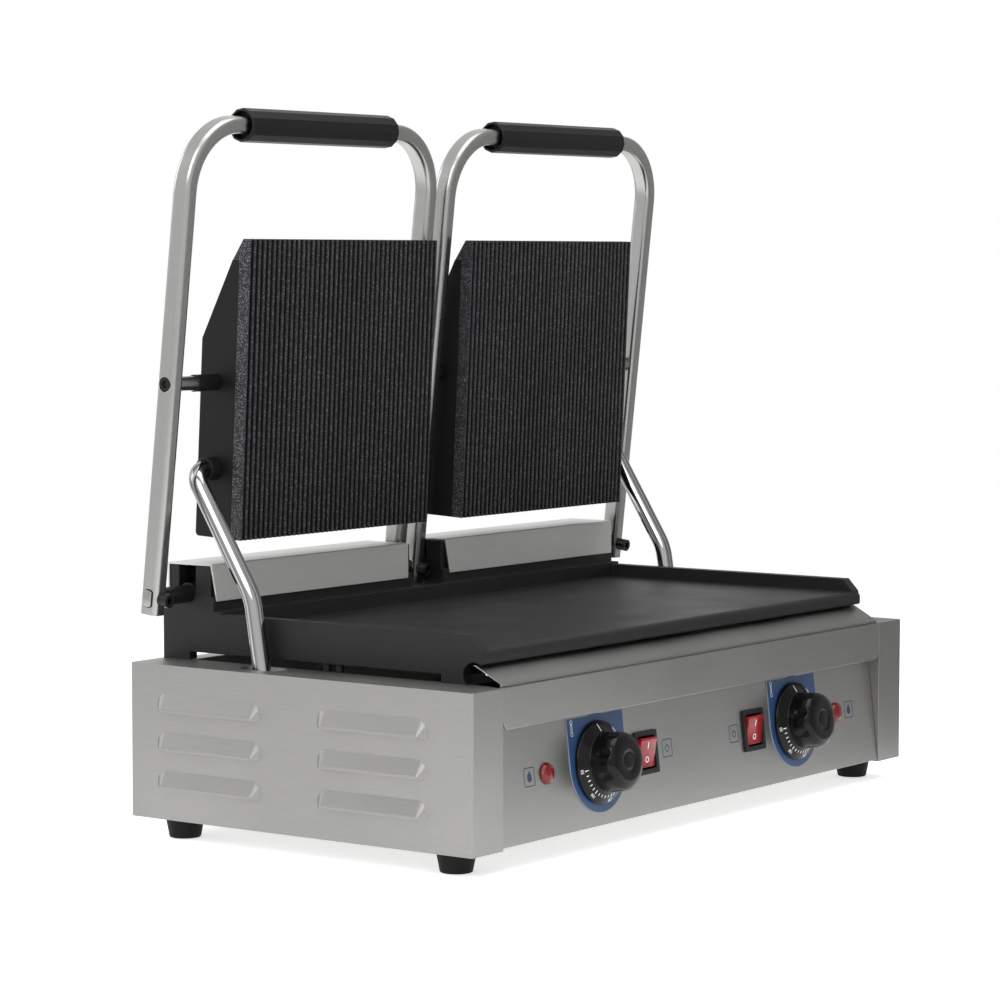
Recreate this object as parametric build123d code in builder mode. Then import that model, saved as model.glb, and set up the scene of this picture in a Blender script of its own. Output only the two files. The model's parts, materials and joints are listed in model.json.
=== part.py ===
from build123d import *
import math
import os

# Double contact grill: one base with a full-width lower plate, and two lids
# that each carry a ribbed upper plate. X runs along the front, -Y points at
# the cook, +Z is up. The origin lies on the table under the middle of the whole
# grill, from its dials to its cable gland.

# Base housing
housing_setback = 5.2
base_depth = 297.0
base_height = 108.5
foot_height = 15.0
foot_top_radius = 14.0
foot_bottom_radius = 11.0
foot_inset_x = 23.0
foot_inset_y = 30.0
sheet = 1.5
top_flange_width = 38.0
post_width = 34.5
post_clearance = 0.4
post_return = 12.0
bottom_flange_width = 16.0
rear_return_width = 20.0
corner_radius = 2.0
panel_clearance = 0.3

# Louvres on each side panel
louvre_width = 91.5
louvre_height = 12.5
louvre_bulge = 4.5
louvre_pitch = 27.0
louvre_rows = 3
louvre_lowest = 22.0
louvre_crown_width = 83.0
louvre_crown_height = 2.0
louvre_wall = 1.0
louvre_corner = 7.5
louvre_column_centres = (77.6, -64.8)

# Back panel, bottom plate and what they carry
gland_radius = 9.0
gland_height = 34.0
gland_nut_radius = 13.0
gland_nut_thickness = 6.0
gland_nose_radius = 10.0
gland_nose_length = 8.0
gland_thread_length = 12.0
gland_bore = 4.2
back_vent_spacing = 360.0
back_vent_height = 30.0
back_vent_length = 90.0
back_vent_pitch = 10.0
vent_slot = 4.0
bottom_vent_length = 70.0
bottom_vent_pitch = 9.0
bottom_vent_columns = (-150.0, 0.0, 150.0)
bottom_vent_rows = (-60.0, 60.0)
bottom_front_gap = 14.0
block_setback = 46.0
block_length = 60.0
block_depth = 22.0
block_height = 18.0
block_step = 8.0
block_ledge = 4.0
terminal_pitch = 10.0
terminal_radius = 2.2

# Control panel and what stands on it
panel_top_recess = 9.0
panel_height = 79.5
panel_lip = 10.0
knob_spacing = 262.0
rocker_spacing = 144.0
lamp_spacing = 386.0
control_height = 44.5
dial_plate_width = 69.0
dial_plate_thickness = 0.6
skirt_radius = 29.0
skirt_thickness = 4.0
skirt_gap = 1.0
knob_radius = 20.8
knob_length = 25.0
knob_cap = 9.0
knob_cap_fillet = 4.5
knob_dimple = 1.2
knob_flutes = 8
flute_radius = 7.0
spindle_radius = 3.0
spindle_hole_radius = 5.0
thermostat_size = 36.0
thermostat_depth = 26.0
bezel_width = 28.0
bezel_height = 30.5
bezel_thickness = 2.0
bezel_wall = 3.5
switch_depth = 18.0
rocker_angle = 11.0
rocker_pin_depth = 1.0
rocker_pin_radius = 1.2
lamp_radius = 7.4
lamp_dome = 4.0
lamp_body_radius = 5.5
lamp_body_length = 22.0

# Grease drawer under the front lip
tray_height = 28.0
tray_depth = 44.0
tray_corner_radius = 6.0
tray_pan_clearance = 8.0
tray_drop = 3.0
runner_thickness = 2.0
runner_lap = 14.0
guide_gap = 1.0
guide_thickness = 2.0
guide_height = 8.0

# Lower plate casting
casting_gap = 5.8
casting_margin = 11.75
casting_front = 121.1
casting_lip = 131.3
casting_back = 148.0
surface_height = 23.7
side_wall_height = 9.75
side_wall_thickness = 9.0
slab_thickness = 10.0
lip_relief = 9.0
skirt_wall = 8.0
ledge_front = 95.0
ledge_height = 11.5
leg_length = 24.0
lip_fill_inset = 25.6
apron_standoff = 3.0
apron_strip_gap = 0.8
apron_end_gap = 0.6
cheek_front = 104.4
ledge_wall_front = 101.9
cheek_width = 12.0
inner_cheek_offset = 20.0
stud_radius = 3.0
stud_y = 3.5
stud_pitch = 11.0
stud_inset = 4.5

# Rear covers over the hinge springs
cover_inner_inset = 3.65
cover_overhang = 0.45
cover_height = 68.3
cover_front = 102.8
cover_back = 143.2
cover_apron = 26.0
cover_sheet = 1.2
cover_slope = 2.4

# Lid arms, hinge and grips
inner_arm_gap = 12.1
arm_conduit_gap = 13.55
arm_depth = 15.0
arm_width = 12.0
arm_wall = 1.5
arm_corner = 4.0
arm_bend = 47.0
arm_tail = 11.5
arm_reach = 330.1
arm_lean = 6.24
hinge_y = 125.6
hinge_height = 46.6
axle_radius = 6.3
axle_flat = 8.0
axle_proud = 0.8
running_clearance = 0.05
key_clearance = 0.1
bush_wall = 1.4
grip_length = 166.5
grip_radius = 12.0
grip_flats = 12
grip_recess = 6.0
lock_screw_radius = 4.8
lock_screw_length = 7.5
lock_thread_radius = 3.0

# Hinge springs inside the covers
spring_curls = 14
spring_wire = 3.0
spring_inner_clearance = 1.2
spring_pitch = 5.0
collar_length = 12.0
collar_wall = 5.0

# Upper plates and their housings
plate_spacing = 260.7
plate_width = 216.0
plate_below_rod = 109.3
plate_above_rod = 101.4
plate_face = 28.3
plate_thickness = 9.6
plate_tilt = 2.7
rib_count = 40
rib_depth = 2.6
rib_groove = 3.2
housing_back = 14.0
housing_bend = 30.3
housing_top = 86.5
housing_top_back = 12.2
plate_edge_thickness = 6.5
housing_sheet = 1.5
housing_fillet = 3.0
rod_distance = 149.8
rod_radius = 5.2
sleeve_radius = 6.0
sleeve_length = 23.0
plug_thickness = 2.5
element_radius = 3.2
element_gap = 0.2
element_rows = 5
element_bend_relief = 3.0
upper_element_inset = 26.0
upper_element_start = 21.3
upper_element_pitch = 40.0
lower_element_inset = 32.0
lower_element_middle = 28.0
lower_element_start = 33.1
lower_element_pitch = 38.0

# Conduit that carries the wires from the base into each lid
conduit_radius = 6.35
conduit_wall = 1.0
conduit_gap = 3.6
conduit_below_rod = 60.9
conduit_upper_run = 101.5
conduit_upper_angle = 32.1
conduit_lower_run = 64.0
conduit_lower_angle = 9.6
conduit_bend = 14.0
conduit_kink_radius = 40.0
bush_collar_radius = 8.2
bush_neck_radius = 7.4
bush_reach = 9.0
slot_y = 47.6
slot_length = 30.0
slot_width = 15.6
slot_dish = 3.2
slot_dish_depth = 2.0

# Places across the front, from the middle outwards
plate_outer = plate_spacing / 2 + plate_width / 2
casting_half_width = plate_outer + casting_margin
half_width = casting_half_width + post_clearance + post_width
conduit_x = -(casting_half_width + conduit_gap + conduit_radius)
outer_arm_x = conduit_x - conduit_radius - arm_conduit_gap - arm_width / 2
inner_arm_x = -(inner_arm_gap + arm_width) / 2
unit_x = (outer_arm_x + inner_arm_x) / 2
arm_spacing = inner_arm_x - outer_arm_x

# Heights above the table
base_floor = foot_height
base_top = foot_height + base_height
casting_bottom = base_top + casting_gap
surface_z = base_top + surface_height
hinge_z = base_top + hinge_height
cover_top = base_top + cover_height
base_front = -base_depth / 2

os.makedirs("parts", exist_ok=True)


def slab(x_range, y_range, z_range, mode=Mode.ADD):
    """Add a block between two corners to the part in progress."""
    size = [high - low for low, high in (x_range, y_range, z_range)]
    middle = [(low + high) / 2 for low, high in (x_range, y_range, z_range)]
    with Locations(tuple(middle)):
        Box(*size, mode=mode)


def save(builder, name):
    """Set a finished piece back from the housing's middle, label it and write it out."""
    piece = Pos(0, housing_setback, 0) * builder.part
    piece.label = name
    export_step(piece, "parts/" + name + ".step")


def save_pair(builder, name):
    """Write the left-hand piece and its mirror image for the right."""
    with BuildPart() as right:
        mirror(builder.part, about=Plane.YZ)
    save(builder, "left_" + name)
    save(right, "right_" + name)


def cross_plane(x, y, z):
    """A plane across the front, facing +X, with its own x along +Y."""
    return Plane(origin=(x, y, z), x_dir=(0, 1, 0), z_dir=(1, 0, 0))


# Lid frame: "up" runs along the ribs, "out" points from the rod to the ribs
tilt = math.radians(plate_tilt)
lean = math.radians(arm_lean)
lid_up = Vector(0, -math.sin(tilt), math.cos(tilt))
lid_out = Vector(0, -math.cos(tilt), -math.sin(tilt))
arm_up = Vector(0, -math.sin(lean), math.cos(lean))
arm_out = Vector(0, -math.cos(lean), -math.sin(lean))
hinge_point = Vector(0, hinge_y, hinge_z)
rod_point = hinge_point + arm_up * rod_distance
plate_x = -plate_spacing / 2
plate_outer_x = plate_x - plate_width / 2
plate_inner_x = plate_x + plate_width / 2


def lid_side_plane(x):
    """Plane square to X at the rod: own x runs out of the face, own y up."""
    origin = Vector(x, rod_point.Y, rod_point.Z)
    return Plane(origin=origin, x_dir=lid_out, z_dir=(-1, 0, 0))


def lid_face_plane(x, out):
    """Plane parallel to the ribbed face: own x along +X, own y up."""
    origin = Vector(x, rod_point.Y, rod_point.Z) + lid_out * out
    return Plane(origin=origin, x_dir=(1, 0, 0), z_dir=lid_out)


def side_panel():
    """Sheet side with its flanges, front post, louvres and conduit slot."""
    outer = -half_width
    inner = outer + sheet
    front = base_front
    back = base_depth / 2
    post = outer + post_width
    with BuildPart() as panel:
        slab((outer, inner), (front, back), (base_floor, base_top))
        slab((outer, post), (front, front + sheet), (base_floor, base_top))
        slab((post - sheet, post), (front, front + post_return), (base_floor, base_top))
        slab((outer, outer + rear_return_width), (back - sheet, back), (base_floor, base_top))
        slab((outer, post), (front, back), (base_top - sheet, base_top))
        slab((post, outer + top_flange_width), (front + post_return, back), (base_top - sheet, base_top))
        slab((outer, outer + bottom_flange_width), (front, back), (base_floor, base_floor + sheet))
        upright = panel.edges().filter_by(Axis.Z).group_by(Axis.X)[0]
        fillet(upright.group_by(Axis.Y)[0] + upright.group_by(Axis.Y)[-1], corner_radius)

        # Louvres: bulges that open downwards over slots in the sheet
        for column in louvre_column_centres:
            for row in range(louvre_rows):
                low = base_floor + louvre_lowest + row * louvre_pitch
                face = Plane(origin=(outer, column, low), x_dir=(0, -1, 0), z_dir=(-1, 0, 0))
                with BuildSketch(face):
                    RectangleRounded(louvre_width, 2 * louvre_height, louvre_corner)
                with BuildSketch(face.offset(louvre_bulge)):
                    RectangleRounded(louvre_crown_width, 2 * louvre_crown_height, louvre_crown_height * 0.95)
                loft()
                # Hollow below the wedge, a sheet's thickness smaller all round
                hollow_width = louvre_width - 2 * sheet
                hollow_height = louvre_height - 2.54 * louvre_wall
                with BuildSketch(face.offset(-2 * sheet)):
                    RectangleRounded(hollow_width, 2 * hollow_height, louvre_corner * 0.6)
                extrude(amount=2 * sheet, mode=Mode.SUBTRACT)
                with BuildSketch(face):
                    RectangleRounded(hollow_width, 2 * hollow_height, louvre_corner * 0.6)
                with BuildSketch(face.offset(louvre_bulge - louvre_wall)):
                    RectangleRounded(
                        louvre_crown_width - 1.4 * louvre_wall,
                        2 * (louvre_crown_height - 0.2 * louvre_wall),
                        louvre_crown_height * 0.8,
                    )
                loft(mode=Mode.SUBTRACT)
                slab(
                    (outer - louvre_bulge - 1, outer),
                    (column - louvre_width / 2 - 1, column + louvre_width / 2 + 1),
                    (low - louvre_height - 1, low),
                    mode=Mode.SUBTRACT,
                )
                slab(
                    (outer, inner),
                    (column - louvre_width / 2, column + louvre_width / 2),
                    (low - louvre_height - 1, low),
                )

        # Dished slot that the conduit slides through
        under = Plane.XY.offset(base_top - sheet - slot_dish_depth)
        with BuildSketch(under):
            with Locations((conduit_x, slot_y)):
                SlotOverall(slot_length + 2 * slot_dish + 3, slot_width + 2 * slot_dish + 3, rotation=90)
        extrude(amount=slot_dish_depth)
        with BuildSketch(Plane.XY.offset(base_top)):
            with Locations((conduit_x, slot_y)):
                SlotOverall(slot_length + 2 * slot_dish, slot_width + 2 * slot_dish, rotation=90)
        extrude(amount=-slot_dish, taper=45, mode=Mode.SUBTRACT)
        with BuildSketch(Plane.XY.offset(base_top)):
            with Locations((conduit_x, slot_y)):
                SlotOverall(slot_length, slot_width, rotation=90)
        extrude(amount=-2 * slot_dish - sheet, mode=Mode.SUBTRACT)
    return panel


save_pair(side_panel(), "side_panel")

# Back panel between the sides, with a hole for the cable gland and vents
gland_z = base_floor + gland_height
panel_half = half_width - sheet - panel_clearance
with BuildPart() as back_panel:
    inner_back = base_depth / 2 - sheet
    slab((-panel_half, panel_half), (inner_back - sheet, inner_back), (base_floor + sheet, base_top - sheet))
    slab((-panel_half + top_flange_width, panel_half - top_flange_width),
         (inner_back - bottom_flange_width, inner_back), (base_top - 2 * sheet, base_top - sheet))
    rear = Plane(origin=(0, inner_back, 0), x_dir=(-1, 0, 0), z_dir=(0, 1, 0))
    with BuildSketch(rear):
        with Locations((0, gland_z)):
            Circle(gland_radius)
        with Locations(*[(side * back_vent_spacing / 2, gland_z + back_vent_height) for side in (-1, 1)]):
            with GridLocations(0, back_vent_pitch, 1, 4):
                SlotOverall(back_vent_length, vent_slot)
    extrude(amount=-2 * sheet, mode=Mode.SUBTRACT)
save(back_panel, "back_panel")

# Cable gland in the back panel
with BuildPart() as cable_gland:
    rear = Plane(origin=(0, inner_back, gland_z), x_dir=(-1, 0, 0), z_dir=(0, 1, 0))
    with BuildSketch(rear):
        RegularPolygon(radius=gland_nut_radius, side_count=6)
    extrude(amount=gland_nut_thickness)
    with BuildSketch(rear.offset(gland_nut_thickness)):
        Circle(gland_nose_radius)
    extrude(amount=gland_nose_length, taper=8)
    with BuildSketch(rear):
        Circle(gland_radius - 0.2)
    extrude(amount=-gland_thread_length)
    with BuildSketch(rear.offset(-sheet)):
        RegularPolygon(radius=gland_nut_radius, side_count=6)
    extrude(amount=-(gland_nut_thickness - 1))
    with BuildSketch(rear.offset(gland_nut_thickness + gland_nose_length + 1)):
        Circle(gland_bore)
    extrude(amount=-2 * (gland_thread_length + gland_nose_length), mode=Mode.SUBTRACT)
save(cable_gland, "cable_gland")

# Bottom plate
bottom_half_y = base_depth / 2 - sheet - panel_clearance
with BuildPart() as bottom_plate:
    slab((-half_width + bottom_flange_width, half_width - bottom_flange_width),
         (-bottom_half_y + bottom_front_gap, inner_back - sheet), (base_floor, base_floor + sheet))
    vent_places = [(x, y, base_floor + sheet / 2) for x in bottom_vent_columns for y in bottom_vent_rows]
    with Locations(*vent_places):
        with GridLocations(0, bottom_vent_pitch, 1, 5):
            Box(bottom_vent_length, vent_slot, 2 * sheet, mode=Mode.SUBTRACT)
save(bottom_plate, "bottom_plate")

# Rubber feet, screwed up into the side panels' bottom flanges
foot_x = half_width - foot_inset_x
foot_y = base_depth / 2 - foot_inset_y
foot_places = [(x, y) for x in (-foot_x, foot_x) for y in (-foot_y, foot_y)]
with BuildPart() as feet:
    for place in foot_places:
        with BuildSketch(Plane.XY):
            with Locations(place):
                Circle(foot_bottom_radius)
        with BuildSketch(Plane.XY.offset(foot_height)):
            with Locations(place):
                Circle(foot_top_radius)
        loft()
    fillet(feet.edges().filter_by(GeomType.CIRCLE).group_by(Axis.Z)[0], 1.2)
save(feet, "feet")

# Control panel: leans back from its foot, with a return at top and bottom
panel_foot_y = base_front + 0.5
panel_top_y = panel_foot_y + panel_top_recess
panel_foot_z = base_floor + sheet + 0.1
panel_top_z = base_floor + panel_height
panel_x = half_width - post_width - panel_clearance
control_z = base_floor + control_height
control_share = (control_z - panel_foot_z) / (panel_top_z - panel_foot_z)
control_y = panel_foot_y + panel_top_recess * control_share
panel_normal = Vector(0, -(panel_top_z - panel_foot_z), panel_top_recess).normalized()
# Where the controls stand: own x along the panel, own y up it, z towards the cook
control_plane = Plane(origin=(0, control_y, control_z), x_dir=(1, 0, 0), z_dir=panel_normal)
switch_width = bezel_width - 2
switch_height = bezel_height - 2
with BuildPart() as control_panel:
    with BuildSketch(cross_plane(0, 0, 0)):
        Polygon(
            (panel_foot_y + panel_lip, panel_foot_z),
            (panel_foot_y, panel_foot_z),
            (panel_top_y, panel_top_z),
            (panel_top_y + panel_lip, panel_top_z),
            (panel_top_y + panel_lip, panel_top_z - sheet),
            (panel_top_y + sheet, panel_top_z - sheet),
            (panel_foot_y + sheet, panel_foot_z + sheet),
            (panel_foot_y + panel_lip, panel_foot_z + sheet),
            align=None,
        )
    extrude(amount=panel_x, both=True)
    with BuildSketch(control_plane):
        with Locations((-knob_spacing / 2, 0), (knob_spacing / 2, 0)):
            Circle(spindle_hole_radius)
        with Locations((-rocker_spacing / 2, 0), (rocker_spacing / 2, 0)):
            Rectangle(switch_width + 0.4, switch_height + 0.4)
        with Locations((-lamp_spacing / 2, 0), (lamp_spacing / 2, 0)):
            Circle(lamp_body_radius + 0.2)
    extrude(amount=5, both=True, mode=Mode.SUBTRACT)
save(control_panel, "control_panel")

# Printed dial plates: square above, round below, around each knob
with BuildPart() as dial_plates:
    with BuildSketch(control_plane):
        for x in (-knob_spacing / 2, knob_spacing / 2):
            with Locations((x, 0)):
                Circle(dial_plate_width / 2)
            with Locations((x, dial_plate_width / 4 - 0.5)):
                Rectangle(dial_plate_width, dial_plate_width / 2 - 1)
        with Locations((-knob_spacing / 2, 0), (knob_spacing / 2, 0)):
            Circle(spindle_hole_radius, mode=Mode.SUBTRACT)
    extrude(amount=dial_plate_thickness)
save(dial_plates, "dial_plates")

skirt_base = dial_plate_thickness + skirt_gap


def knob():
    """Thermostat knob: graduated skirt, fluted body with a dished cap, spindle."""
    place = control_plane.offset(skirt_base)
    place.origin = place.origin + Vector(-knob_spacing / 2, 0, 0)
    with BuildPart() as piece:
        with BuildSketch(place):
            Circle(skirt_radius)
        extrude(amount=skirt_thickness, taper=30)
        with BuildSketch(place.offset(skirt_thickness / 2)):
            Circle(knob_radius)
            with PolarLocations(knob_radius + flute_radius * 0.62, knob_flutes, 22.5):
                Circle(flute_radius, mode=Mode.SUBTRACT)
        extrude(amount=knob_length - knob_cap)
        with BuildSketch(place.offset(knob_length - knob_cap)):
            Circle(knob_radius)
        extrude(amount=knob_cap)
        cap = piece.faces().sort_by(Axis(place.origin, place.z_dir))[-1]
        fillet(cap.edges(), knob_cap_fillet)
        with BuildSketch(place.offset(knob_length)):
            Circle(knob_radius * 0.42)
        extrude(amount=-knob_dimple, mode=Mode.SUBTRACT)
        with BuildSketch(place):
            Circle(spindle_radius)
        extrude(amount=-(skirt_base + sheet + 6))
    return piece


save_pair(knob(), "knob")


def thermostat():
    """Capillary thermostat behind the panel, bored for the turning spindle."""
    place = control_plane.offset(-sheet - 1)
    place.origin = place.origin + Vector(-knob_spacing / 2, 0, 0)
    with BuildPart() as piece:
        with BuildSketch(place):
            Circle(8)
        extrude(amount=-4)
        with BuildSketch(place.offset(-4)):
            RectangleRounded(thermostat_size, thermostat_size, 3)
        extrude(amount=-thermostat_depth)
        with BuildSketch(place.offset(-4 - thermostat_depth)):
            with GridLocations(12, 10, 2, 2):
                Rectangle(6.3, 0.8)
        extrude(amount=-8)
        with BuildSketch(place):
            Circle(spindle_radius + running_clearance)
        extrude(amount=-12, mode=Mode.SUBTRACT)
    return piece


save_pair(thermostat(), "thermostat")

# Rocker switch bodies: flanged frames clipped into the panel
with BuildPart() as switch_frames:
    with BuildSketch(control_plane):
        with Locations((-rocker_spacing / 2, 0), (rocker_spacing / 2, 0)):
            RectangleRounded(bezel_width, bezel_height, 1.5)
    extrude(amount=bezel_thickness)
    with BuildSketch(control_plane):
        with Locations((-rocker_spacing / 2, 0), (rocker_spacing / 2, 0)):
            Rectangle(switch_width, switch_height)
    extrude(amount=-switch_depth)
    with BuildSketch(control_plane.offset(bezel_thickness)):
        with Locations((-rocker_spacing / 2, 0), (rocker_spacing / 2, 0)):
            Rectangle(bezel_width - 2 * bezel_wall, bezel_height - 2 * bezel_wall)
    extrude(amount=-bezel_thickness - switch_depth + 3, mode=Mode.SUBTRACT)
    with BuildSketch(control_plane.offset(-switch_depth)):
        with Locations((-rocker_spacing / 2, 0), (rocker_spacing / 2, 0)):
            with GridLocations(14, 9, 2, 2):
                Rectangle(0.8, 4.8)
    extrude(amount=-8)
save(switch_frames, "switch_frames")


def rocker():
    """See-saw key: two faces that meet in a shallow valley over its pin."""
    half = bezel_height / 2 - bezel_wall - 1.2
    width = bezel_width - 2 * bezel_wall - 0.8
    rise = math.tan(math.radians(2 * rocker_angle)) * half
    low = bezel_thickness * 0.4
    bottom = -6.0
    side = Plane(
        origin=control_plane.origin + Vector(-rocker_spacing / 2, 0, 0),
        x_dir=control_plane.z_dir,
        z_dir=(-1, 0, 0),
    )
    with BuildPart() as piece:
        with BuildSketch(side):
            Polygon(
                (low, -half),
                (low + 0.6, 0),
                (low + rise, half - 0.8),
                (low + rise - 2.4, half + 0.1),
                (-2.0, half - 0.6),
                (bottom, 3.0),
                (bottom, -3.0),
                (-3.0, -half + 1.6),
                align=None,
            )
        extrude(amount=width / 2, both=True)
        with BuildSketch(side):
            with Locations((-rocker_pin_depth, 0)):
                Circle(rocker_pin_radius)
        extrude(amount=width / 2 + 0.3, both=True)
    return piece


save_pair(rocker(), "rocker")

# Pilot lamps: domed lenses over bodies that pass through the panel
with BuildPart() as pilot_lamps:
    for x in (-lamp_spacing / 2, lamp_spacing / 2):
        place = control_plane.offset(0)
        place.origin = place.origin + Vector(x, 0, 0)
        with BuildSketch(place):
            Circle(lamp_radius)
        extrude(amount=lamp_dome, taper=20)
        with BuildSketch(place):
            Circle(lamp_body_radius)
        extrude(amount=-lamp_body_length)
    domes = pilot_lamps.faces().filter_by(GeomType.PLANE).group_by(Axis(control_plane.origin, panel_normal))[-1]
    fillet(domes.edges(), 2.0)
save(pilot_lamps, "pilot_lamps")

# Grease drawer: the strip under the lip is its front
tray_half = half_width - post_width - panel_clearance
tray_top = base_top
tray_bottom = tray_top - tray_height
pan_half = tray_half - tray_pan_clearance
pan_top = tray_top - tray_drop
pan_back = base_front + tray_depth
with BuildPart() as drip_tray:
    front_face = Plane(origin=(0, base_front, tray_bottom + tray_height / 2), x_dir=(1, 0, 0), z_dir=(0, -1, 0))
    with BuildSketch(front_face) as strip:
        Rectangle(2 * tray_half, tray_height)
        fillet(strip.vertices().group_by(Axis.Y)[0], tray_corner_radius)
    extrude(amount=-sheet)
    slab((-pan_half, pan_half), (base_front + sheet, pan_back), (tray_bottom + sheet, pan_top))
    slab(
        (-pan_half + sheet, pan_half - sheet),
        (base_front + sheet, pan_back - sheet),
        (tray_bottom + 2 * sheet, pan_top),
        mode=Mode.SUBTRACT,
    )
save(drip_tray, "drip_tray")

# Runners that carry the drawer, fixed to the posts' returns
with BuildPart() as tray_runners:
    runner_top = tray_bottom + sheet - 0.3
    for sign in (-1, 1):
        edges_x = sorted((sign * (pan_half - runner_lap), sign * (half_width - sheet)))
        slab(edges_x, (base_front + post_return, pan_back), (runner_top - runner_thickness, runner_top))
        guide_x = sorted((sign * (pan_half + guide_gap), sign * (pan_half + guide_gap + guide_thickness)))
        slab(guide_x, (base_front + post_return, pan_back), (runner_top, runner_top + guide_height))
save(tray_runners, "tray_runners")

# Apron below the casting's lip that sheds grease into the drawer
apron_half = casting_half_width - apron_end_gap
apron_top = surface_z - slab_thickness - 0.3
apron_back = -casting_front - apron_standoff
apron_front = base_front + sheet + apron_strip_gap
with BuildPart() as grease_apron:
    with BuildSketch(cross_plane(0, 0, 0)):
        Polygon(
            (apron_back + cover_sheet, apron_top),
            (apron_back - cover_sheet, apron_top),
            (apron_front, base_top + 2.0),
            (apron_front, base_top - 2.2),
            (apron_front + cover_sheet, base_top - 2.2),
            (apron_front + cover_sheet, base_top + 2.5),
            align=None,
        )
    extrude(amount=apron_half, both=True)
save(grease_apron, "grease_apron")


# Lower plate: one casting with side walls, a rear ledge, legs and hinge cheeks
slab_bottom = surface_z - slab_thickness
wall_top = surface_z + side_wall_height
ledge_top = surface_z + ledge_height
cheek_top = cover_top - cover_sheet
bush_radius = axle_radius + running_clearance + bush_wall
casting_profile = (
    (casting_back, slab_bottom),
    (casting_back, ledge_top),
    (ledge_front, ledge_top),
    (ledge_front, surface_z),
    (-casting_lip, surface_z),
    (-casting_lip, slab_bottom),
)
inner_cheek = (inner_cheek_offset, inner_cheek_offset + cheek_width)
outer_cheek = (casting_half_width - cheek_width, casting_half_width)
cheek_ranges = []
for low, high in (inner_cheek, outer_cheek):
    cheek_ranges += [(low, high), (-high, -low)]
with BuildPart() as lower_plate:
    with BuildSketch(cross_plane(0, 0, 0)):
        Polygon(*casting_profile, align=None)
    extrude(amount=casting_half_width, both=True)
    lip = lower_plate.edges().filter_by(Axis.X).group_by(Axis.Y)[0]
    fillet(lip.group_by(Axis.Z)[-1], 4.5)
    fillet(lower_plate.edges().filter_by(Axis.X).group_by(Axis.Y)[0].group_by(Axis.Z)[0], 2.0)
    # Skirt round the element space, open below
    slab((-casting_half_width, casting_half_width), (-casting_front, casting_back),
         (casting_bottom, slab_bottom))
    slab((-casting_half_width + skirt_wall, casting_half_width - skirt_wall),
         (-casting_front + skirt_wall, casting_back - skirt_wall),
         (casting_bottom - 1, slab_bottom), mode=Mode.SUBTRACT)
    # Side walls, sloping down to the lip at the front
    for sign in (-1, 1):
        with BuildSketch(cross_plane(sign * casting_half_width, 0, 0)):
            Polygon(
                (ledge_front, surface_z),
                (ledge_front, wall_top),
                (-casting_front, wall_top),
                (-casting_lip + 1.5, surface_z + 0.5),
                (-casting_lip + 1.5, surface_z - slab_thickness + 2),
                (ledge_front, surface_z - slab_thickness + 2),
                align=None,
            )
        extrude(amount=-sign * side_wall_thickness)
    # Cheeks that carry the axles, notched from above
    for x_range in cheek_ranges:
        slab(x_range, (cheek_front, cover_back - cover_sheet - 0.3), (ledge_top - 1, cheek_top))
        with BuildSketch(cross_plane(x_range[0], hinge_y, hinge_z)):
            Circle(bush_radius)
            with Locations((0, cover_height / 2)):
                Rectangle(2 * bush_radius, cover_height)
        extrude(amount=x_range[1] - x_range[0], mode=Mode.SUBTRACT)
    # The ledge is cut away in the middle, where the inner arms swing
    slab((-inner_cheek_offset, inner_cheek_offset), (ledge_front + 8, casting_back + 1),
         (surface_z + 2, cheek_top), mode=Mode.SUBTRACT)
    # Low wall on the ledge, tucked behind the covers' aprons
    for sign in (-1, 1):
        wall_x = sorted((sign * inner_cheek[0], sign * outer_cheek[1]))
        slab(wall_x, (ledge_wall_front, cheek_front + 1), (ledge_top - 1, cover_top - cover_apron + 3))
    # Shallow trough behind the ledge's front edge, under the covers
    for sign in (-1, 1):
        trough = sorted((sign * (inner_cheek[1]), sign * outer_cheek[0]))
        slab(trough, (cheek_front + 1, casting_back - 6), (surface_z - 2, ledge_top + 1), mode=Mode.SUBTRACT)
    # Legs at the corners stand on the base's top flanges
    for sign in (-1, 1):
        leg_x = sorted((sign * (casting_half_width - skirt_wall), sign * casting_half_width))
        for front in (-casting_front, casting_back - leg_length):
            slab(leg_x, (front, front + leg_length), (base_top, casting_bottom))
    # Concave relief under the lip, above each front leg
    with BuildSketch(cross_plane(0, 0, 0)):
        with Locations((-casting_front - 3.0, casting_bottom + 0.5)):
            Circle(lip_relief)
    extrude(amount=casting_half_width + 5, both=True, mode=Mode.SUBTRACT)
    fill_half = casting_half_width - lip_fill_inset
    slab((-fill_half, fill_half), (-casting_front, -casting_front + skirt_wall),
         (casting_bottom, slab_bottom))
    slab((-fill_half, fill_half), (-casting_lip + 2.5, -casting_front + skirt_wall),
         (slab_bottom, slab_bottom + 3))
save(lower_plate, "lower_plate")

# Screws that tie the casting to the top flanges, with spacers round them
with BuildPart() as plate_screws:
    for sign in (-1, 1):
        x = sign * (casting_half_width - stud_inset)
        for y in (stud_y, stud_y - stud_pitch):
            with Locations((x, y, (base_top + casting_bottom) / 2)):
                Cylinder(stud_radius, casting_gap)
save(plate_screws, "plate_screws")

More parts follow.
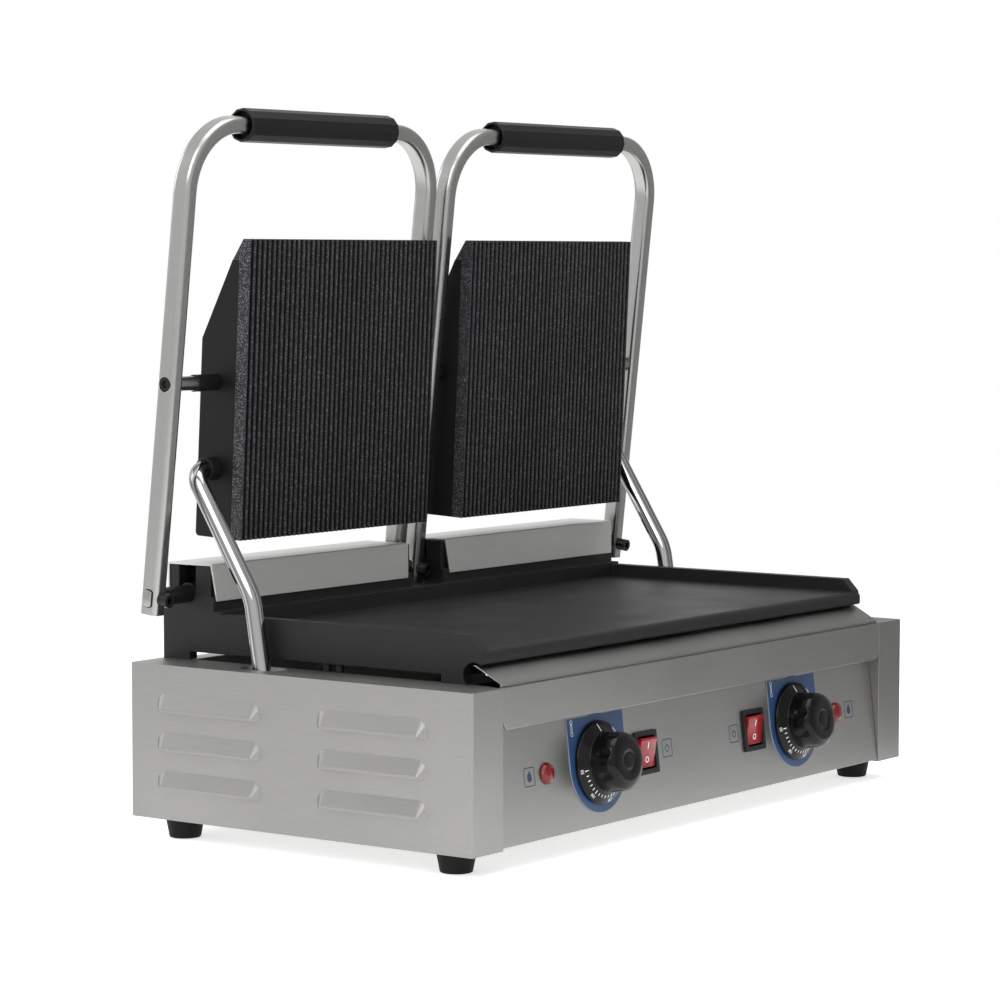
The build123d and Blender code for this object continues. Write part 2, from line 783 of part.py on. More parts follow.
# Rear covers: sheet hoods over the springs, resting on the cheeks
cover_inner = inner_cheek_offset + cover_inner_inset
cover_outer = casting_half_width + cover_overhang
cover_x = -(cover_inner + cover_outer) / 2
cover_half = (cover_outer - cover_inner) / 2
cover_low = cover_top - cover_apron
cover_trim = 3.0
with BuildPart() as rear_cover:
    with BuildSketch(cross_plane(cover_x, 0, 0)):
        Polygon(
            (cover_front, cover_top),
            (cover_back, cover_top),
            (cover_back, ledge_top + 0.2),
            (cover_back - cover_sheet, ledge_top + 0.2),
            (cover_back - cover_sheet, cover_top - cover_sheet),
            (cover_front + cover_sheet, cover_top - cover_sheet),
            (cover_front + cover_sheet - cover_slope, cover_low),
            (cover_front - cover_slope, cover_low),
            align=None,
        )
    extrude(amount=cover_half, both=True)
    # The apron narrows downwards and has rounded lower corners
    for sign in (-1, 1):
        edge = cover_x + sign * cover_half
        with BuildSketch(Plane(origin=(0, cover_front, 0), x_dir=(1, 0, 0), z_dir=(0, -1, 0))):
            Polygon(
                (edge + sign, cover_top - 1.5),
                (edge, cover_top - 1.5),
                (edge - sign * cover_trim, cover_low - 0.5),
                (edge + sign, cover_low - 0.5),
                align=None,
            )
        extrude(amount=-4, both=True, mode=Mode.SUBTRACT)
    top_edges = rear_cover.edges().filter_by(Axis.X).group_by(Axis.Z)[-1]
    fillet(top_edges, cover_sheet * 0.8)
save_pair(rear_cover, "rear_cover")

# Bushes in the cheeks, one for each end of each axle
with BuildPart() as axle_bushes:
    for low, high in cheek_ranges:
        with BuildSketch(cross_plane(low, hinge_y, hinge_z)):
            Circle(bush_radius)
            Circle(axle_radius + running_clearance, mode=Mode.SUBTRACT)
        extrude(amount=high - low)
save(axle_bushes, "axle_bushes")

# Lower heating elements: hairpin tubes below the slab
element_z = slab_bottom - element_radius - element_gap


def lower_element():
    """Hairpin heating tube clamped below one half of the lower plate."""
    left = -casting_half_width + lower_element_inset
    right = -lower_element_middle
    points = []
    for row in range(element_rows):
        y = -casting_front + lower_element_start + row * lower_element_pitch
        ends = (left, right) if row % 2 == 0 else (right, left)
        points += [(ends[0], y, element_z), (ends[1], y, element_z)]
    with BuildPart() as piece:
        with BuildLine() as route:
            FilletPolyline(*points, radius=lower_element_pitch / 2 - element_bend_relief)
        start = route.line @ 0
        with BuildSketch(Plane(origin=start, z_dir=route.line % 0)):
            Circle(element_radius)
        sweep()
    return piece


save_pair(lower_element(), "lower_element")

# Heat shield under the elements
shield_z = casting_bottom + 0.1
with BuildPart() as heat_shield:
    slab((-casting_half_width + skirt_wall + 0.3, casting_half_width - skirt_wall - 0.3),
         (-casting_front + skirt_wall + 0.3, casting_back - skirt_wall - 0.3),
         (shield_z, shield_z + 0.8))
save(heat_shield, "heat_shield")


def arm():
    """U-shaped handle tube: two legs, two bends and the bar inside the grip."""
    half = arm_spacing / 2
    plane = Plane(
        origin=(unit_x, hinge_y, hinge_z), x_dir=(1, 0, 0), z_dir=arm_out
    )
    with BuildPart() as piece:
        with BuildLine(plane) as route:
            FilletPolyline(
                (-half, -arm_tail), (-half, arm_reach), (half, arm_reach), (half, -arm_tail),
                radius=arm_bend,
            )
        section = Plane(origin=route.line @ 0, x_dir=(1, 0, 0), z_dir=arm_up)
        with BuildSketch(section):
            RectangleRounded(arm_width, arm_depth, arm_corner)
            RectangleRounded(
                arm_width - 2 * arm_wall, arm_depth - 2 * arm_wall, arm_corner - arm_wall / 2,
                mode=Mode.SUBTRACT,
            )
        sweep()
        # Keyed holes for the axle, round holes for the plate rod, tapped holes
        side = Plane(origin=(unit_x, hinge_y, hinge_z), x_dir=arm_out, z_dir=(-1, 0, 0))
        with BuildSketch(side):
            with Locations((0, 0)):
                Circle(axle_radius + key_clearance)
                Rectangle(axle_flat + 2 * key_clearance, 4 * axle_radius, mode=Mode.INTERSECT)
            with Locations((0, rod_distance)):
                Circle(rod_radius + key_clearance)
        extrude(amount=arm_spacing, both=True, mode=Mode.SUBTRACT)
        for x in (-half, half):
            with BuildSketch(plane):
                with Locations((x, 0)):
                    Circle(lock_thread_radius + key_clearance)
            extrude(amount=arm_depth, mode=Mode.SUBTRACT)
    return piece


save_pair(arm(), "lid_arm")


def grip():
    """Faceted sleeve on the arm's bar, hollowed where the tube enters."""
    centre = Vector(unit_x, hinge_y, hinge_z) + arm_up * arm_reach
    start = centre + Vector(-grip_length / 2, 0, 0)
    plane = Plane(origin=start, x_dir=arm_out, z_dir=(1, 0, 0))
    with BuildPart() as piece:
        with BuildSketch(plane):
            RegularPolygon(radius=grip_radius, side_count=grip_flats)
        extrude(amount=grip_length)
        ends = piece.faces().filter_by(Axis.X)
        fillet(ends.edges(), 1.5)
        for x in (start.X, start.X + grip_length - grip_recess):
            with BuildSketch(Plane(origin=(x, centre.Y, centre.Z), x_dir=arm_out, z_dir=(1, 0, 0))):
                Circle(grip_radius - 2.2)
            extrude(amount=grip_recess, mode=Mode.SUBTRACT)
        with BuildSketch(plane):
            RectangleRounded(
                arm_depth + 2 * key_clearance, arm_width + 2 * key_clearance, arm_corner
            )
        extrude(amount=grip_length, mode=Mode.SUBTRACT)
    return piece


save_pair(grip(), "grip")


def axle():
    """Hinge axle: round between the arms, with two flats inside each arm."""
    outer_end = outer_arm_x - arm_width / 2 - axle_proud
    inner_end = inner_arm_x + arm_width / 2
    with BuildPart() as piece:
        with BuildSketch(cross_plane(outer_end, hinge_y, hinge_z)):
            Circle(axle_radius)
        extrude(amount=inner_end - outer_end)
        keyed = (
            (outer_end, outer_arm_x + arm_width / 2),
            (inner_arm_x - arm_width / 2, inner_end),
        )
        side = Plane(origin=(0, hinge_y, hinge_z), x_dir=arm_out, z_dir=(-1, 0, 0))
        for low, high in keyed:
            with BuildSketch(side.offset(-high)):
                Rectangle(6 * axle_radius, 6 * axle_radius)
                Rectangle(axle_flat, 6 * axle_radius, mode=Mode.SUBTRACT)
            extrude(amount=high - low, mode=Mode.SUBTRACT)
        # Seats for the lock screws' points
        for x in (outer_arm_x, inner_arm_x):
            seat = Plane(origin=(x, hinge_y, hinge_z), x_dir=(1, 0, 0), z_dir=arm_out)
            with BuildSketch(seat.offset(axle_flat / 2 - 0.8)):
                Circle(lock_thread_radius + key_clearance)
            extrude(amount=2, mode=Mode.SUBTRACT)
    return piece


save_pair(axle(), "hinge_axle")


def lock_screws():
    """Socket-head screws that clamp each arm to the axle."""
    with BuildPart() as piece:
        for x in (outer_arm_x, inner_arm_x):
            seat = Plane(origin=(x, hinge_y, hinge_z), x_dir=(1, 0, 0), z_dir=arm_out)
            with BuildSketch(seat.offset(axle_flat / 2 - 0.7)):
                Circle(lock_thread_radius)
            extrude(amount=arm_depth / 2 - axle_flat / 2 + 0.7)
            with BuildSketch(seat.offset(arm_depth / 2)):
                Circle(lock_screw_radius)
            extrude(amount=lock_screw_length)
            with BuildSketch(seat.offset(arm_depth / 2 + lock_screw_length)):
                RegularPolygon(radius=2.8, side_count=6)
            extrude(amount=-4, mode=Mode.SUBTRACT)
    return piece


save_pair(lock_screws(), "lock_screws")


def plate_rod():
    """Rod across the arms on which the upper plate swings."""
    low = outer_arm_x - arm_width / 2 + plug_thickness + 0.6
    high = inner_arm_x + arm_width / 2
    with BuildPart() as piece:
        with BuildSketch(cross_plane(low, rod_point.Y, rod_point.Z)):
            Circle(rod_radius)
        extrude(amount=high - low)
    return piece


save_pair(plate_rod(), "plate_rod")


def rod_sleeves():
    """Black spacer sleeves that centre the plate between the arms."""
    gap = 0.3
    spans = (
        (plate_outer_x - sleeve_length, plate_outer_x - gap),
        (plate_inner_x + gap, inner_arm_x - arm_width / 2 - gap),
    )
    with BuildPart() as piece:
        for low, high in spans:
            with BuildSketch(cross_plane(low, rod_point.Y, rod_point.Z)):
                Circle(sleeve_radius)
                Circle(rod_radius, mode=Mode.SUBTRACT)
            extrude(amount=high - low)
    return piece


save_pair(rod_sleeves(), "rod_sleeves")


def rod_plug():
    """Plug in the outer arm over the rod's end, with a hexagon recess."""
    start = outer_arm_x - arm_width / 2 + 0.6
    with BuildPart() as piece:
        with BuildSketch(cross_plane(start, rod_point.Y, rod_point.Z)):
            Circle(rod_radius)
        extrude(amount=plug_thickness)
        with BuildSketch(cross_plane(start, rod_point.Y, rod_point.Z)):
            RegularPolygon(radius=3.2, side_count=6)
        extrude(amount=1.6, mode=Mode.SUBTRACT)
    return piece


save_pair(rod_plug(), "rod_plug")


def upper_plate():
    """Ribbed casting, thinned towards its free edge."""
    seam = plate_face - plate_thickness
    with BuildPart() as piece:
        with BuildSketch(lid_side_plane(plate_x)):
            Polygon(
                (plate_face, -plate_below_rod),
                (plate_face, plate_above_rod),
                (plate_face - plate_edge_thickness, plate_above_rod),
                (housing_top_back + 0.6, housing_top + 0.1),
                (seam, housing_top + 0.1),
                (seam, -plate_below_rod),
                align=None,
            )
        extrude(amount=plate_width / 2, both=True)
        below = Plane(
            origin=Vector(plate_x, rod_point.Y, rod_point.Z) - lid_up * (plate_below_rod + 1),
            x_dir=(1, 0, 0),
            z_dir=lid_up,
        )
        with BuildSketch(below):
            with Locations((0, -plate_face + rib_depth / 2)):
                with GridLocations(plate_width / rib_count, 0, rib_count, 1):
                    Trapezoid(rib_groove, rib_depth, 72, rotation=0)
        extrude(amount=plate_below_rod + plate_above_rod + 2, mode=Mode.SUBTRACT)
    return piece


save_pair(upper_plate(), "upper_plate")


def upper_housing():
    """Sheet hood on the back of the upper plate, bored for rod and bush."""
    seam = plate_face - plate_thickness
    outline = (
        (seam, -plate_below_rod),
        (-housing_back, -plate_below_rod),
        (-housing_back + 0.6, housing_bend),
        (housing_top_back, housing_top),
        (seam, housing_top),
    )
    with BuildPart() as piece:
        with BuildSketch(lid_side_plane(plate_x)):
            Polygon(*outline, align=None)
        extrude(amount=plate_width / 2 - 0.4, both=True)
        rim = piece.edges().filter_by(Axis.X)
        back_rim = rim.group_by(Axis((0, 0, 0), lid_out))[0:2]
        fillet(back_rim[0] + back_rim[1], housing_fillet)
        with BuildSketch(lid_side_plane(plate_x)):
            Polygon(
                (seam, -plate_below_rod + housing_sheet),
                (-housing_back + housing_sheet, -plate_below_rod + housing_sheet),
                (-housing_back + housing_sheet + 0.6, housing_bend - 0.5),
                (housing_top_back + 0.6, housing_top - housing_sheet),
                (seam, housing_top - housing_sheet),
                align=None,
            )
        extrude(amount=plate_width / 2 - 0.4 - housing_sheet, both=True, mode=Mode.SUBTRACT)
        with BuildSketch(lid_side_plane(plate_x)):
            Circle(rod_radius + running_clearance)
        extrude(amount=plate_width, both=True, mode=Mode.SUBTRACT)
        with BuildSketch(lid_side_plane(plate_outer_x - 1)):
            with Locations((0, -conduit_below_rod)):
                Circle(bush_neck_radius + running_clearance)
        extrude(amount=-6, mode=Mode.SUBTRACT)
    return piece


save_pair(upper_housing(), "upper_housing")


def upper_element():
    """Hairpin heating tube against the back of the upper plate."""
    out = plate_face - plate_thickness - element_radius - element_gap
    plane = lid_face_plane(plate_x, out)
    reach = plate_width / 2 - upper_element_inset
    points = []
    for row in range(element_rows):
        height = -plate_below_rod + upper_element_start + row * upper_element_pitch
        ends = (-reach, reach) if row % 2 == 0 else (reach, -reach)
        points += [(ends[0], height), (ends[1], height)]
    with BuildPart() as piece:
        with BuildLine(plane) as route:
            FilletPolyline(*points, radius=upper_element_pitch / 2 - element_bend_relief)
        with BuildSketch(Plane(origin=route.line @ 0, z_dir=route.line % 0)):
            Circle(element_radius)
        sweep()
    return piece


save_pair(upper_element(), "upper_element")

# Conduit: from a bush in the plate's side down into the base's slot
bush_point = rod_point - lid_up * conduit_below_rod
upper_angle = math.radians(conduit_upper_angle)
lower_angle = math.radians(conduit_lower_angle)
upper_drop = Vector(0, -math.sin(upper_angle), -math.cos(upper_angle))
lower_drop = Vector(0, -math.sin(lower_angle), -math.cos(lower_angle))


def conduit_bush():
    """Black bush in the housing's side in which the conduit turns."""
    with BuildPart() as piece:
        with BuildSketch(cross_plane(plate_outer_x - bush_reach, bush_point.Y, bush_point.Z)):
            Circle(bush_collar_radius)
        extrude(amount=bush_reach)
        with BuildSketch(cross_plane(plate_outer_x, bush_point.Y, bush_point.Z)):
            Circle(bush_neck_radius)
        extrude(amount=housing_sheet + 3)
        with BuildSketch(cross_plane(plate_outer_x - bush_reach, bush_point.Y, bush_point.Z)):
            Circle(conduit_radius + running_clearance)
        extrude(amount=bush_reach + 10, mode=Mode.SUBTRACT)
    return piece


save_pair(conduit_bush(), "conduit_bush")


def conduit():
    """Bent chrome tube whose turned end runs in the bush."""
    start = Vector(plate_outer_x + housing_sheet + 5, bush_point.Y, bush_point.Z)
    corner = Vector(conduit_x, bush_point.Y, bush_point.Z)
    kink = corner + upper_drop * conduit_upper_run
    end = kink + lower_drop * conduit_lower_run
    with BuildPart() as piece:
        with BuildLine() as route:
            FilletPolyline(start, corner, kink, end, radius=[conduit_bend, conduit_kink_radius])
        with BuildSketch(Plane(origin=start, z_dir=(-1, 0, 0))):
            Circle(conduit_radius)
        sweep(path=route.line)
        with BuildSketch(Plane(origin=start, z_dir=(-1, 0, 0))):
            Circle(conduit_radius - conduit_wall)
        sweep(path=route.line, mode=Mode.SUBTRACT)
    return piece


save_pair(conduit(), "conduit")

# Hinge springs: coils round the axles, hidden under the covers
spring_radius = axle_radius + spring_inner_clearance + spring_wire / 2
spring_length = spring_curls * spring_pitch
spring_start = cover_x - spring_length / 2


def hinge_spring():
    """Torsion spring wound round the axle as one unbroken wire."""
    with BuildPart() as piece:
        with BuildLine():
            coil = Helix(
                pitch=spring_pitch,
                height=spring_length,
                radius=spring_radius,
                center=(spring_start, hinge_y, hinge_z),
                direction=(1, 0, 0),
            )
        with BuildSketch(Plane(origin=coil @ 0, z_dir=coil % 0)):
            Circle(spring_wire / 2)
        sweep(path=coil, is_frenet=True)
    return piece


save_pair(hinge_spring(), "hinge_spring")
print("least gap between spring curls", round(spring_pitch - spring_wire, 2), "mm")


def spring_collars():
    """Collars pinned to the axle, one at each end of the spring."""
    with BuildPart() as piece:
        for low in (spring_start - spring_wire - collar_length, spring_start + spring_length + spring_wire):
            with BuildSketch(cross_plane(low, hinge_y, hinge_z)):
                Circle(axle_radius + collar_wall)
                Circle(axle_radius, mode=Mode.SUBTRACT)
            extrude(amount=collar_length)
    return piece


save_pair(spring_collars(), "spring_collars")

# Terminal block on the bottom plate, where the supply is shared out
with BuildPart() as terminal_block:
    block_floor = base_floor + sheet
    block_y = inner_back - block_setback
    half_long = block_length / 2
    half_deep = block_depth / 2
    slab(
        (-half_long, half_long),
        (block_y - half_deep, block_y + half_deep),
        (block_floor, block_floor + block_step),
    )
    slab(
        (-half_long + block_ledge / 2, half_long - block_ledge / 2),
        (block_y - half_deep + block_ledge, block_y + half_deep - block_ledge),
        (block_floor + block_step, block_floor + block_height),
    )
    with Locations((0, block_y, block_floor + block_height)):
        with GridLocations(terminal_pitch, 0, 5, 1):
            Hole(terminal_radius, depth=block_height / 3)
save(terminal_block, "terminal_block")
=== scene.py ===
"""Looks of a double contact grill: metals, castings, plastics, prints and a plain studio."""

import json
import math

import bpy
from mathutils import Matrix, Vector


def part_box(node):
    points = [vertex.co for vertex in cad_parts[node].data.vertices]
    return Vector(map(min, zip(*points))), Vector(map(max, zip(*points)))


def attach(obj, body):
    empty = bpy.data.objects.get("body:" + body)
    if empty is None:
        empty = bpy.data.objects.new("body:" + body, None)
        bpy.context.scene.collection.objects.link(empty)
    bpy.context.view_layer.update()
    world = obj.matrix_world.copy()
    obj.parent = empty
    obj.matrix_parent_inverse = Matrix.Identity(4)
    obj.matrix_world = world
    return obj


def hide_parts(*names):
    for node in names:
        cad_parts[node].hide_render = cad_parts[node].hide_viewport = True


bl_info = {
    "name": "Double Contact Grill",
    "version": (1, 0, 0),
    "blender": (4, 5, 0),
    "location": "View3D > Sidebar > Grill",
    "description": "Dresses the grill's frame and adds its dials, switches, lamps and prints",
    "category": "Object",
}

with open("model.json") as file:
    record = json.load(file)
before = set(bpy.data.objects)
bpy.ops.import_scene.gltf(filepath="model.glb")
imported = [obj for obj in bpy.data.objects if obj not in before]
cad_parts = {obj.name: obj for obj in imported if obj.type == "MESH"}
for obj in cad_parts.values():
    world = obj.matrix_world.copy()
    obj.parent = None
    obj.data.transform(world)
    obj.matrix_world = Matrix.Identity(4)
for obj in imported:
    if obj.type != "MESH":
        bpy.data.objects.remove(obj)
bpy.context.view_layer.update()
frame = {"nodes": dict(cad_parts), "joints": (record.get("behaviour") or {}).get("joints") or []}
nodes = frame["nodes"]
joint_named = {joint["name"]: joint for joint in frame["joints"]}

# The upper plates' ribs, and where in the wave across them the crests' own colour starts and is full;
# the grooves between them get painted shade
RIB_COUNT = 40
CREST_START = -0.15
CREST_FULL = 0.45

# The part of the fleck cells that stays empty
EMPTY_CELLS = 0.6

# The polished tubes' painted reflection: bands of base colour by how far the surface turns away from
# the view, and how bright the painted reflection is there
TUBE_PAINTED_REFLECTION_BANDS = (
    (0.02, 0.55), (0.16, 0.2), (0.24, 0.95), (0.36, 0.35),
    (0.5, 0.05), (0.6, 0.6), (0.78, 0.08), (1.0, 0.38),
)


class GrillSizes(bpy.types.PropertyGroup):
    """Sizes of the small pieces on the control panel."""

    print_thickness: bpy.props.FloatProperty(
        name="Print thickness", description="How far a printed mark stands off its surface",
        default=0.00006, min=0.00002, max=0.0005, unit="LENGTH", precision=5,
    )
    knob_radius: bpy.props.FloatProperty(
        name="Knob radius", description="Radius of the fluted body of each dial",
        default=0.0208, unit="LENGTH",
    )
    skirt_radius: bpy.props.FloatProperty(
        name="Skirt radius", description="Radius of the graduated skirt of each dial",
        default=0.029, unit="LENGTH",
    )
    knob_height: bpy.props.FloatProperty(
        name="Knob height", description="Height of a dial above the back of its skirt",
        default=0.025, unit="LENGTH",
    )
    flute_count: bpy.props.IntProperty(
        name="Flutes", description="Finger hollows round each knob", default=8, min=3, max=16,
    )
    tick_count: bpy.props.IntProperty(
        name="Ticks", description="Graduations printed on each skirt", default=26, min=2, max=60,
    )
    tick_step: bpy.props.FloatProperty(
        name="Tick step", description="Angle from one graduation to the next",
        default=math.radians(9), subtype="ANGLE",
    )
    icon_side: bpy.props.FloatProperty(
        name="Icon side", description="Side of the outlined square round each sign",
        default=0.0126, unit="LENGTH",
    )
    lamp_radius: bpy.props.FloatProperty(
        name="Lamp radius", description="Radius of each pilot lamp's lens",
        default=0.0074, unit="LENGTH",
    )


class GrillFinish(bpy.types.PropertyGroup):
    """Colours of the grill's finishes."""

    steel_tone: bpy.props.FloatVectorProperty(
        name="Sheet steel", description="Base colour of the brushed sheet",
        default=(0.33, 0.327, 0.318), subtype="COLOR", min=0, max=1,
    )
    chrome_tone: bpy.props.FloatVectorProperty(
        name="Polished tube", description="Base colour of the polished tubes",
        default=(0.7, 0.7, 0.71), subtype="COLOR", min=0, max=1,
    )
    cast_tone: bpy.props.FloatVectorProperty(
        name="Casting", description="Base colour of the coated lower casting",
        default=(0.0105, 0.0105, 0.011), subtype="COLOR", min=0, max=1,
    )
    rib_tone: bpy.props.FloatVectorProperty(
        name="Ribbed plate", description="Base colour of the coated upper plates",
        default=(0.009, 0.0088, 0.0098), subtype="COLOR", min=0, max=1,
    )
    hood_tone: bpy.props.FloatVectorProperty(
        name="Hood", description="Base colour of the painted hoods",
        default=(0.0062, 0.0062, 0.0064), subtype="COLOR", min=0, max=1,
    )
    plastic_tone: bpy.props.FloatVectorProperty(
        name="Plastic", description="Base colour of the black plastic",
        default=(0.0042, 0.0042, 0.0046), subtype="COLOR", min=0, max=1,
    )
    red_tone: bpy.props.FloatVectorProperty(
        name="Red plastic", description="Base colour of rockers and lenses",
        default=(0.42, 0.006, 0.012), subtype="COLOR", min=0, max=1,
    )
    blue_tone: bpy.props.FloatVectorProperty(
        name="Blue print", description="Colour of the printed dial sheets and signs",
        default=(0.012, 0.048, 0.135), subtype="COLOR", min=0, max=1,
    )


class GrillStage(bpy.types.PropertyGroup):
    """The camera, the floor and the lights."""

    lens: bpy.props.FloatProperty(
        name="Lens", description="Focal length on a 36 mm sensor", default=123.564, min=20,
    )
    camera_place: bpy.props.FloatVectorProperty(
        name="Camera place", description="Where the camera stands",
        default=(-2.0757, -1.45209, 0.40815), subtype="TRANSLATION",
    )
    heading: bpy.props.FloatProperty(
        name="Heading", description="Direction of view, turned from +Y towards +X",
        default=math.radians(54.2956), subtype="ANGLE",
    )
    dip: bpy.props.FloatProperty(
        name="Dip", description="How far the view points down",
        default=math.radians(4.0809), subtype="ANGLE",
    )
    roll: bpy.props.FloatProperty(
        name="Roll", description="Turn of the camera about its own view",
        default=math.radians(0.0634), subtype="ANGLE",
    )
    floor_radius: bpy.props.FloatProperty(
        name="Floor radius", description="Radius of the round white floor",
        default=1.6, unit="LENGTH",
    )
    ambient: bpy.props.FloatProperty(
        name="Ambient", description="Strength of the even light from all round",
        default=0.62, min=0,
    )


def cleared():
    """Leave edit mode with nothing selected."""
    if bpy.context.object and bpy.context.object.mode != "OBJECT":
        bpy.ops.object.mode_set(mode="OBJECT")
    bpy.ops.object.select_all(action="DESELECT")


def started(add, name, **options):
    """Add a primitive with nothing else selected, at the origin if no place is given."""
    cleared()
    add(**{"location": (0, 0, 0), **options})
    piece = bpy.context.object
    piece.name = name
    piece.data.name = name
    return piece


def chosen(piece):
    """Make one piece the selected and active one."""
    cleared()
    piece.select_set(True)
    bpy.context.view_layer.objects.active = piece


def pick(piece, kind, test):
    """Enter edit mode with only those faces, edges or vertices selected that pass the test."""
    chosen(piece)
    bpy.ops.object.mode_set(mode="EDIT")
    bpy.ops.mesh.select_mode(type=kind)
    bpy.ops.mesh.select_all(action="DESELECT")
    bpy.ops.object.mode_set(mode="OBJECT")
    mesh = piece.data
    parts = {"VERT": mesh.vertices, "EDGE": mesh.edges, "FACE": mesh.polygons}[kind]
    for part in parts:
        part.select = test(part)
    bpy.ops.object.mode_set(mode="EDIT")


def bevelled(piece, width, segments):
    """Round a piece's sharp edges."""
    chosen(piece)
    modifier = piece.modifiers.new("Bevel", "BEVEL")
    modifier.width = width
    modifier.segments = segments
    modifier.limit_method = "ANGLE"
    modifier.angle_limit = math.radians(35)
    bpy.ops.object.modifier_apply(modifier=modifier.name)


def smoothed(piece, angle=30):
    """Shade a piece smooth, apart from its sharp edges."""
    chosen(piece)
    bpy.ops.object.shade_smooth_by_angle(angle=math.radians(angle))


def joined(pieces, name):
    """Join several pieces into one."""
    cleared()
    for piece in pieces:
        piece.select_set(True)
    bpy.context.view_layer.objects.active = pieces[0]
    bpy.ops.object.join()
    pieces[0].name = name
    pieces[0].data.name = name
    return pieces[0]


def seated(piece, place):
    """Move a piece modelled at the origin to its place, and keep the place in its mesh."""
    chosen(piece)
    piece.matrix_world = place @ piece.matrix_world
    bpy.ops.object.transform_apply(location=True, rotation=True, scale=True)
    return piece


def panel_place(x, up=0.0, out=0.0):
    """A place on the leaning control panel: own x along it, own y up it, own z towards the cook."""
    joint = joint_named["left_knob_turn"]
    outward = -Vector(joint["axis"]).normalized()
    along = Vector((1, 0, 0))
    rise = outward.cross(along)
    middle = Vector((0, joint["pos_m"][1], joint["pos_m"][2]))
    turn = Matrix((along, rise, outward)).transposed().to_4x4()
    return Matrix.Translation(middle + along * x + rise * up + outward * out) @ turn


def finished(piece, finish, body, stands_for=()):
    """Give a new piece its finish and the body that carries it."""
    piece.data.materials.clear()
    piece.data.materials.append(bpy.data.materials[finish])
    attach(piece, body)
    if stands_for:
        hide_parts(*stands_for)


def lathed(name, profile, segments=96):
    """Turn a closed solid from radii and heights, listed from its back to its front."""
    radius, height = profile[0]
    piece = started(
        bpy.ops.mesh.primitive_circle_add, name,
        vertices=segments, radius=radius, fill_type="NGON",
    )
    bpy.ops.object.mode_set(mode="EDIT")
    bpy.ops.mesh.select_mode(type="FACE")
    bpy.ops.mesh.select_all(action="SELECT")
    bpy.ops.transform.translate(value=(0, 0, height))
    for next_radius, next_height in profile[1:]:
        bpy.ops.mesh.extrude_region_move(
            TRANSFORM_OT_translate={"value": (0, 0, next_height - height)}
        )
        share = next_radius / radius
        bpy.ops.transform.resize(value=(share, share, 1))
        radius, height = next_radius, next_height
    bpy.ops.object.mode_set(mode="OBJECT")
    pick(piece, "FACE", lambda face: True)
    bpy.ops.mesh.normals_make_consistent(inside=False)
    bpy.ops.object.mode_set(mode="OBJECT")
    return piece


def block(name, size, place=Matrix.Identity(4)):
    """A block of three sizes about the middle of its place."""
    piece = started(bpy.ops.mesh.primitive_cube_add, name, size=1)
    piece.scale = size
    bpy.ops.object.transform_apply(location=False, rotation=False, scale=True)
    return seated(piece, place)


def ring(name, radius, line, flatness, place=Matrix.Identity(4)):
    """A flattened ring about the middle of its place."""
    piece = started(
        bpy.ops.mesh.primitive_torus_add, name,
        major_radius=radius, minor_radius=line / 2, major_segments=40, minor_segments=8,
    )
    piece.scale = (1, 1, flatness)
    bpy.ops.object.transform_apply(location=False, rotation=False, scale=True)
    return seated(piece, place)


def cut(piece, tool, operation="DIFFERENCE"):
    """Cut a piece with a tool, or join them as one solid, and drop the tool."""
    chosen(piece)
    modifier = piece.modifiers.new("Cut", "BOOLEAN")
    modifier.operation = operation
    modifier.solver = "EXACT"
    modifier.object = tool
    bpy.ops.object.modifier_apply(modifier=modifier.name)
    chosen(tool)
    bpy.ops.object.delete()
    return piece


def doubled(piece, name):
    """A copy of a piece with a mesh of its own."""
    chosen(piece)
    bpy.ops.object.duplicate(linked=False)
    copy = bpy.context.object
    copy.name = name
    copy.data.name = name
    return copy


def both(*names):
    """The left and the right node of each name."""
    return [side + name for name in names for side in ("left_", "right_")]


# Shader groups that several finishes share


def computed(tree, operation, first, second=0.0):
    """The result of a sum in a tree. Each of its two values may be a number or a socket."""
    node = tree.nodes.new("ShaderNodeMath")
    node.operation = operation
    for value, socket in zip((first, second), node.inputs):
        if isinstance(value, bpy.types.NodeSocket):
            tree.links.new(value, socket)
        else:
            socket.default_value = value
    return node.outputs[0]


def noise(tree, place, detail, roughness=0.5, scale=1.0):
    """A noise texture over a place."""
    node = tree.nodes.new("ShaderNodeTexNoise")
    node.inputs["Scale"].default_value = scale
    node.inputs["Detail"].default_value = detail
    node.inputs["Roughness"].default_value = roughness
    tree.links.new(place, node.inputs["Vector"])
    return node


def new_group(name, inputs, outputs):
    """An empty shader group with named inputs and outputs."""
    group = bpy.data.node_groups.new(name, "ShaderNodeTree")
    for label, kind, default in inputs:
        socket = group.interface.new_socket(name=label, in_out="INPUT", socket_type=kind)
        socket.default_value = default
    for label, kind in outputs:
        group.interface.new_socket(name=label, in_out="OUTPUT", socket_type=kind)
    return group, group.nodes.new("NodeGroupInput"), group.nodes.new("NodeGroupOutput")


def brushed_grain_group():
    """Fine parallel lines that run along the direction with the smallest scale."""
    group, inward, outward = new_group(
        "Brushed Grain",
        [("Scale", "NodeSocketVector", (3000.0, 3000.0, 30.0))],
        [("Line", "NodeSocketFloat"), ("Cloud", "NodeSocketFloat")],
    )
    place = group.nodes.new("ShaderNodeTexCoord").outputs["Object"]
    stretch = group.nodes.new("ShaderNodeVectorMath")
    stretch.operation = "MULTIPLY"
    link = group.links.new
    link(place, stretch.inputs[0])
    link(inward.outputs["Scale"], stretch.inputs[1])
    fine = noise(group, stretch.outputs[0], detail=3.0, roughness=0.7)
    cloud = noise(group, place, detail=2.0, scale=9.0)
    link(fine.outputs["Fac"], outward.inputs["Line"])
    link(cloud.outputs["Fac"], outward.inputs["Cloud"])


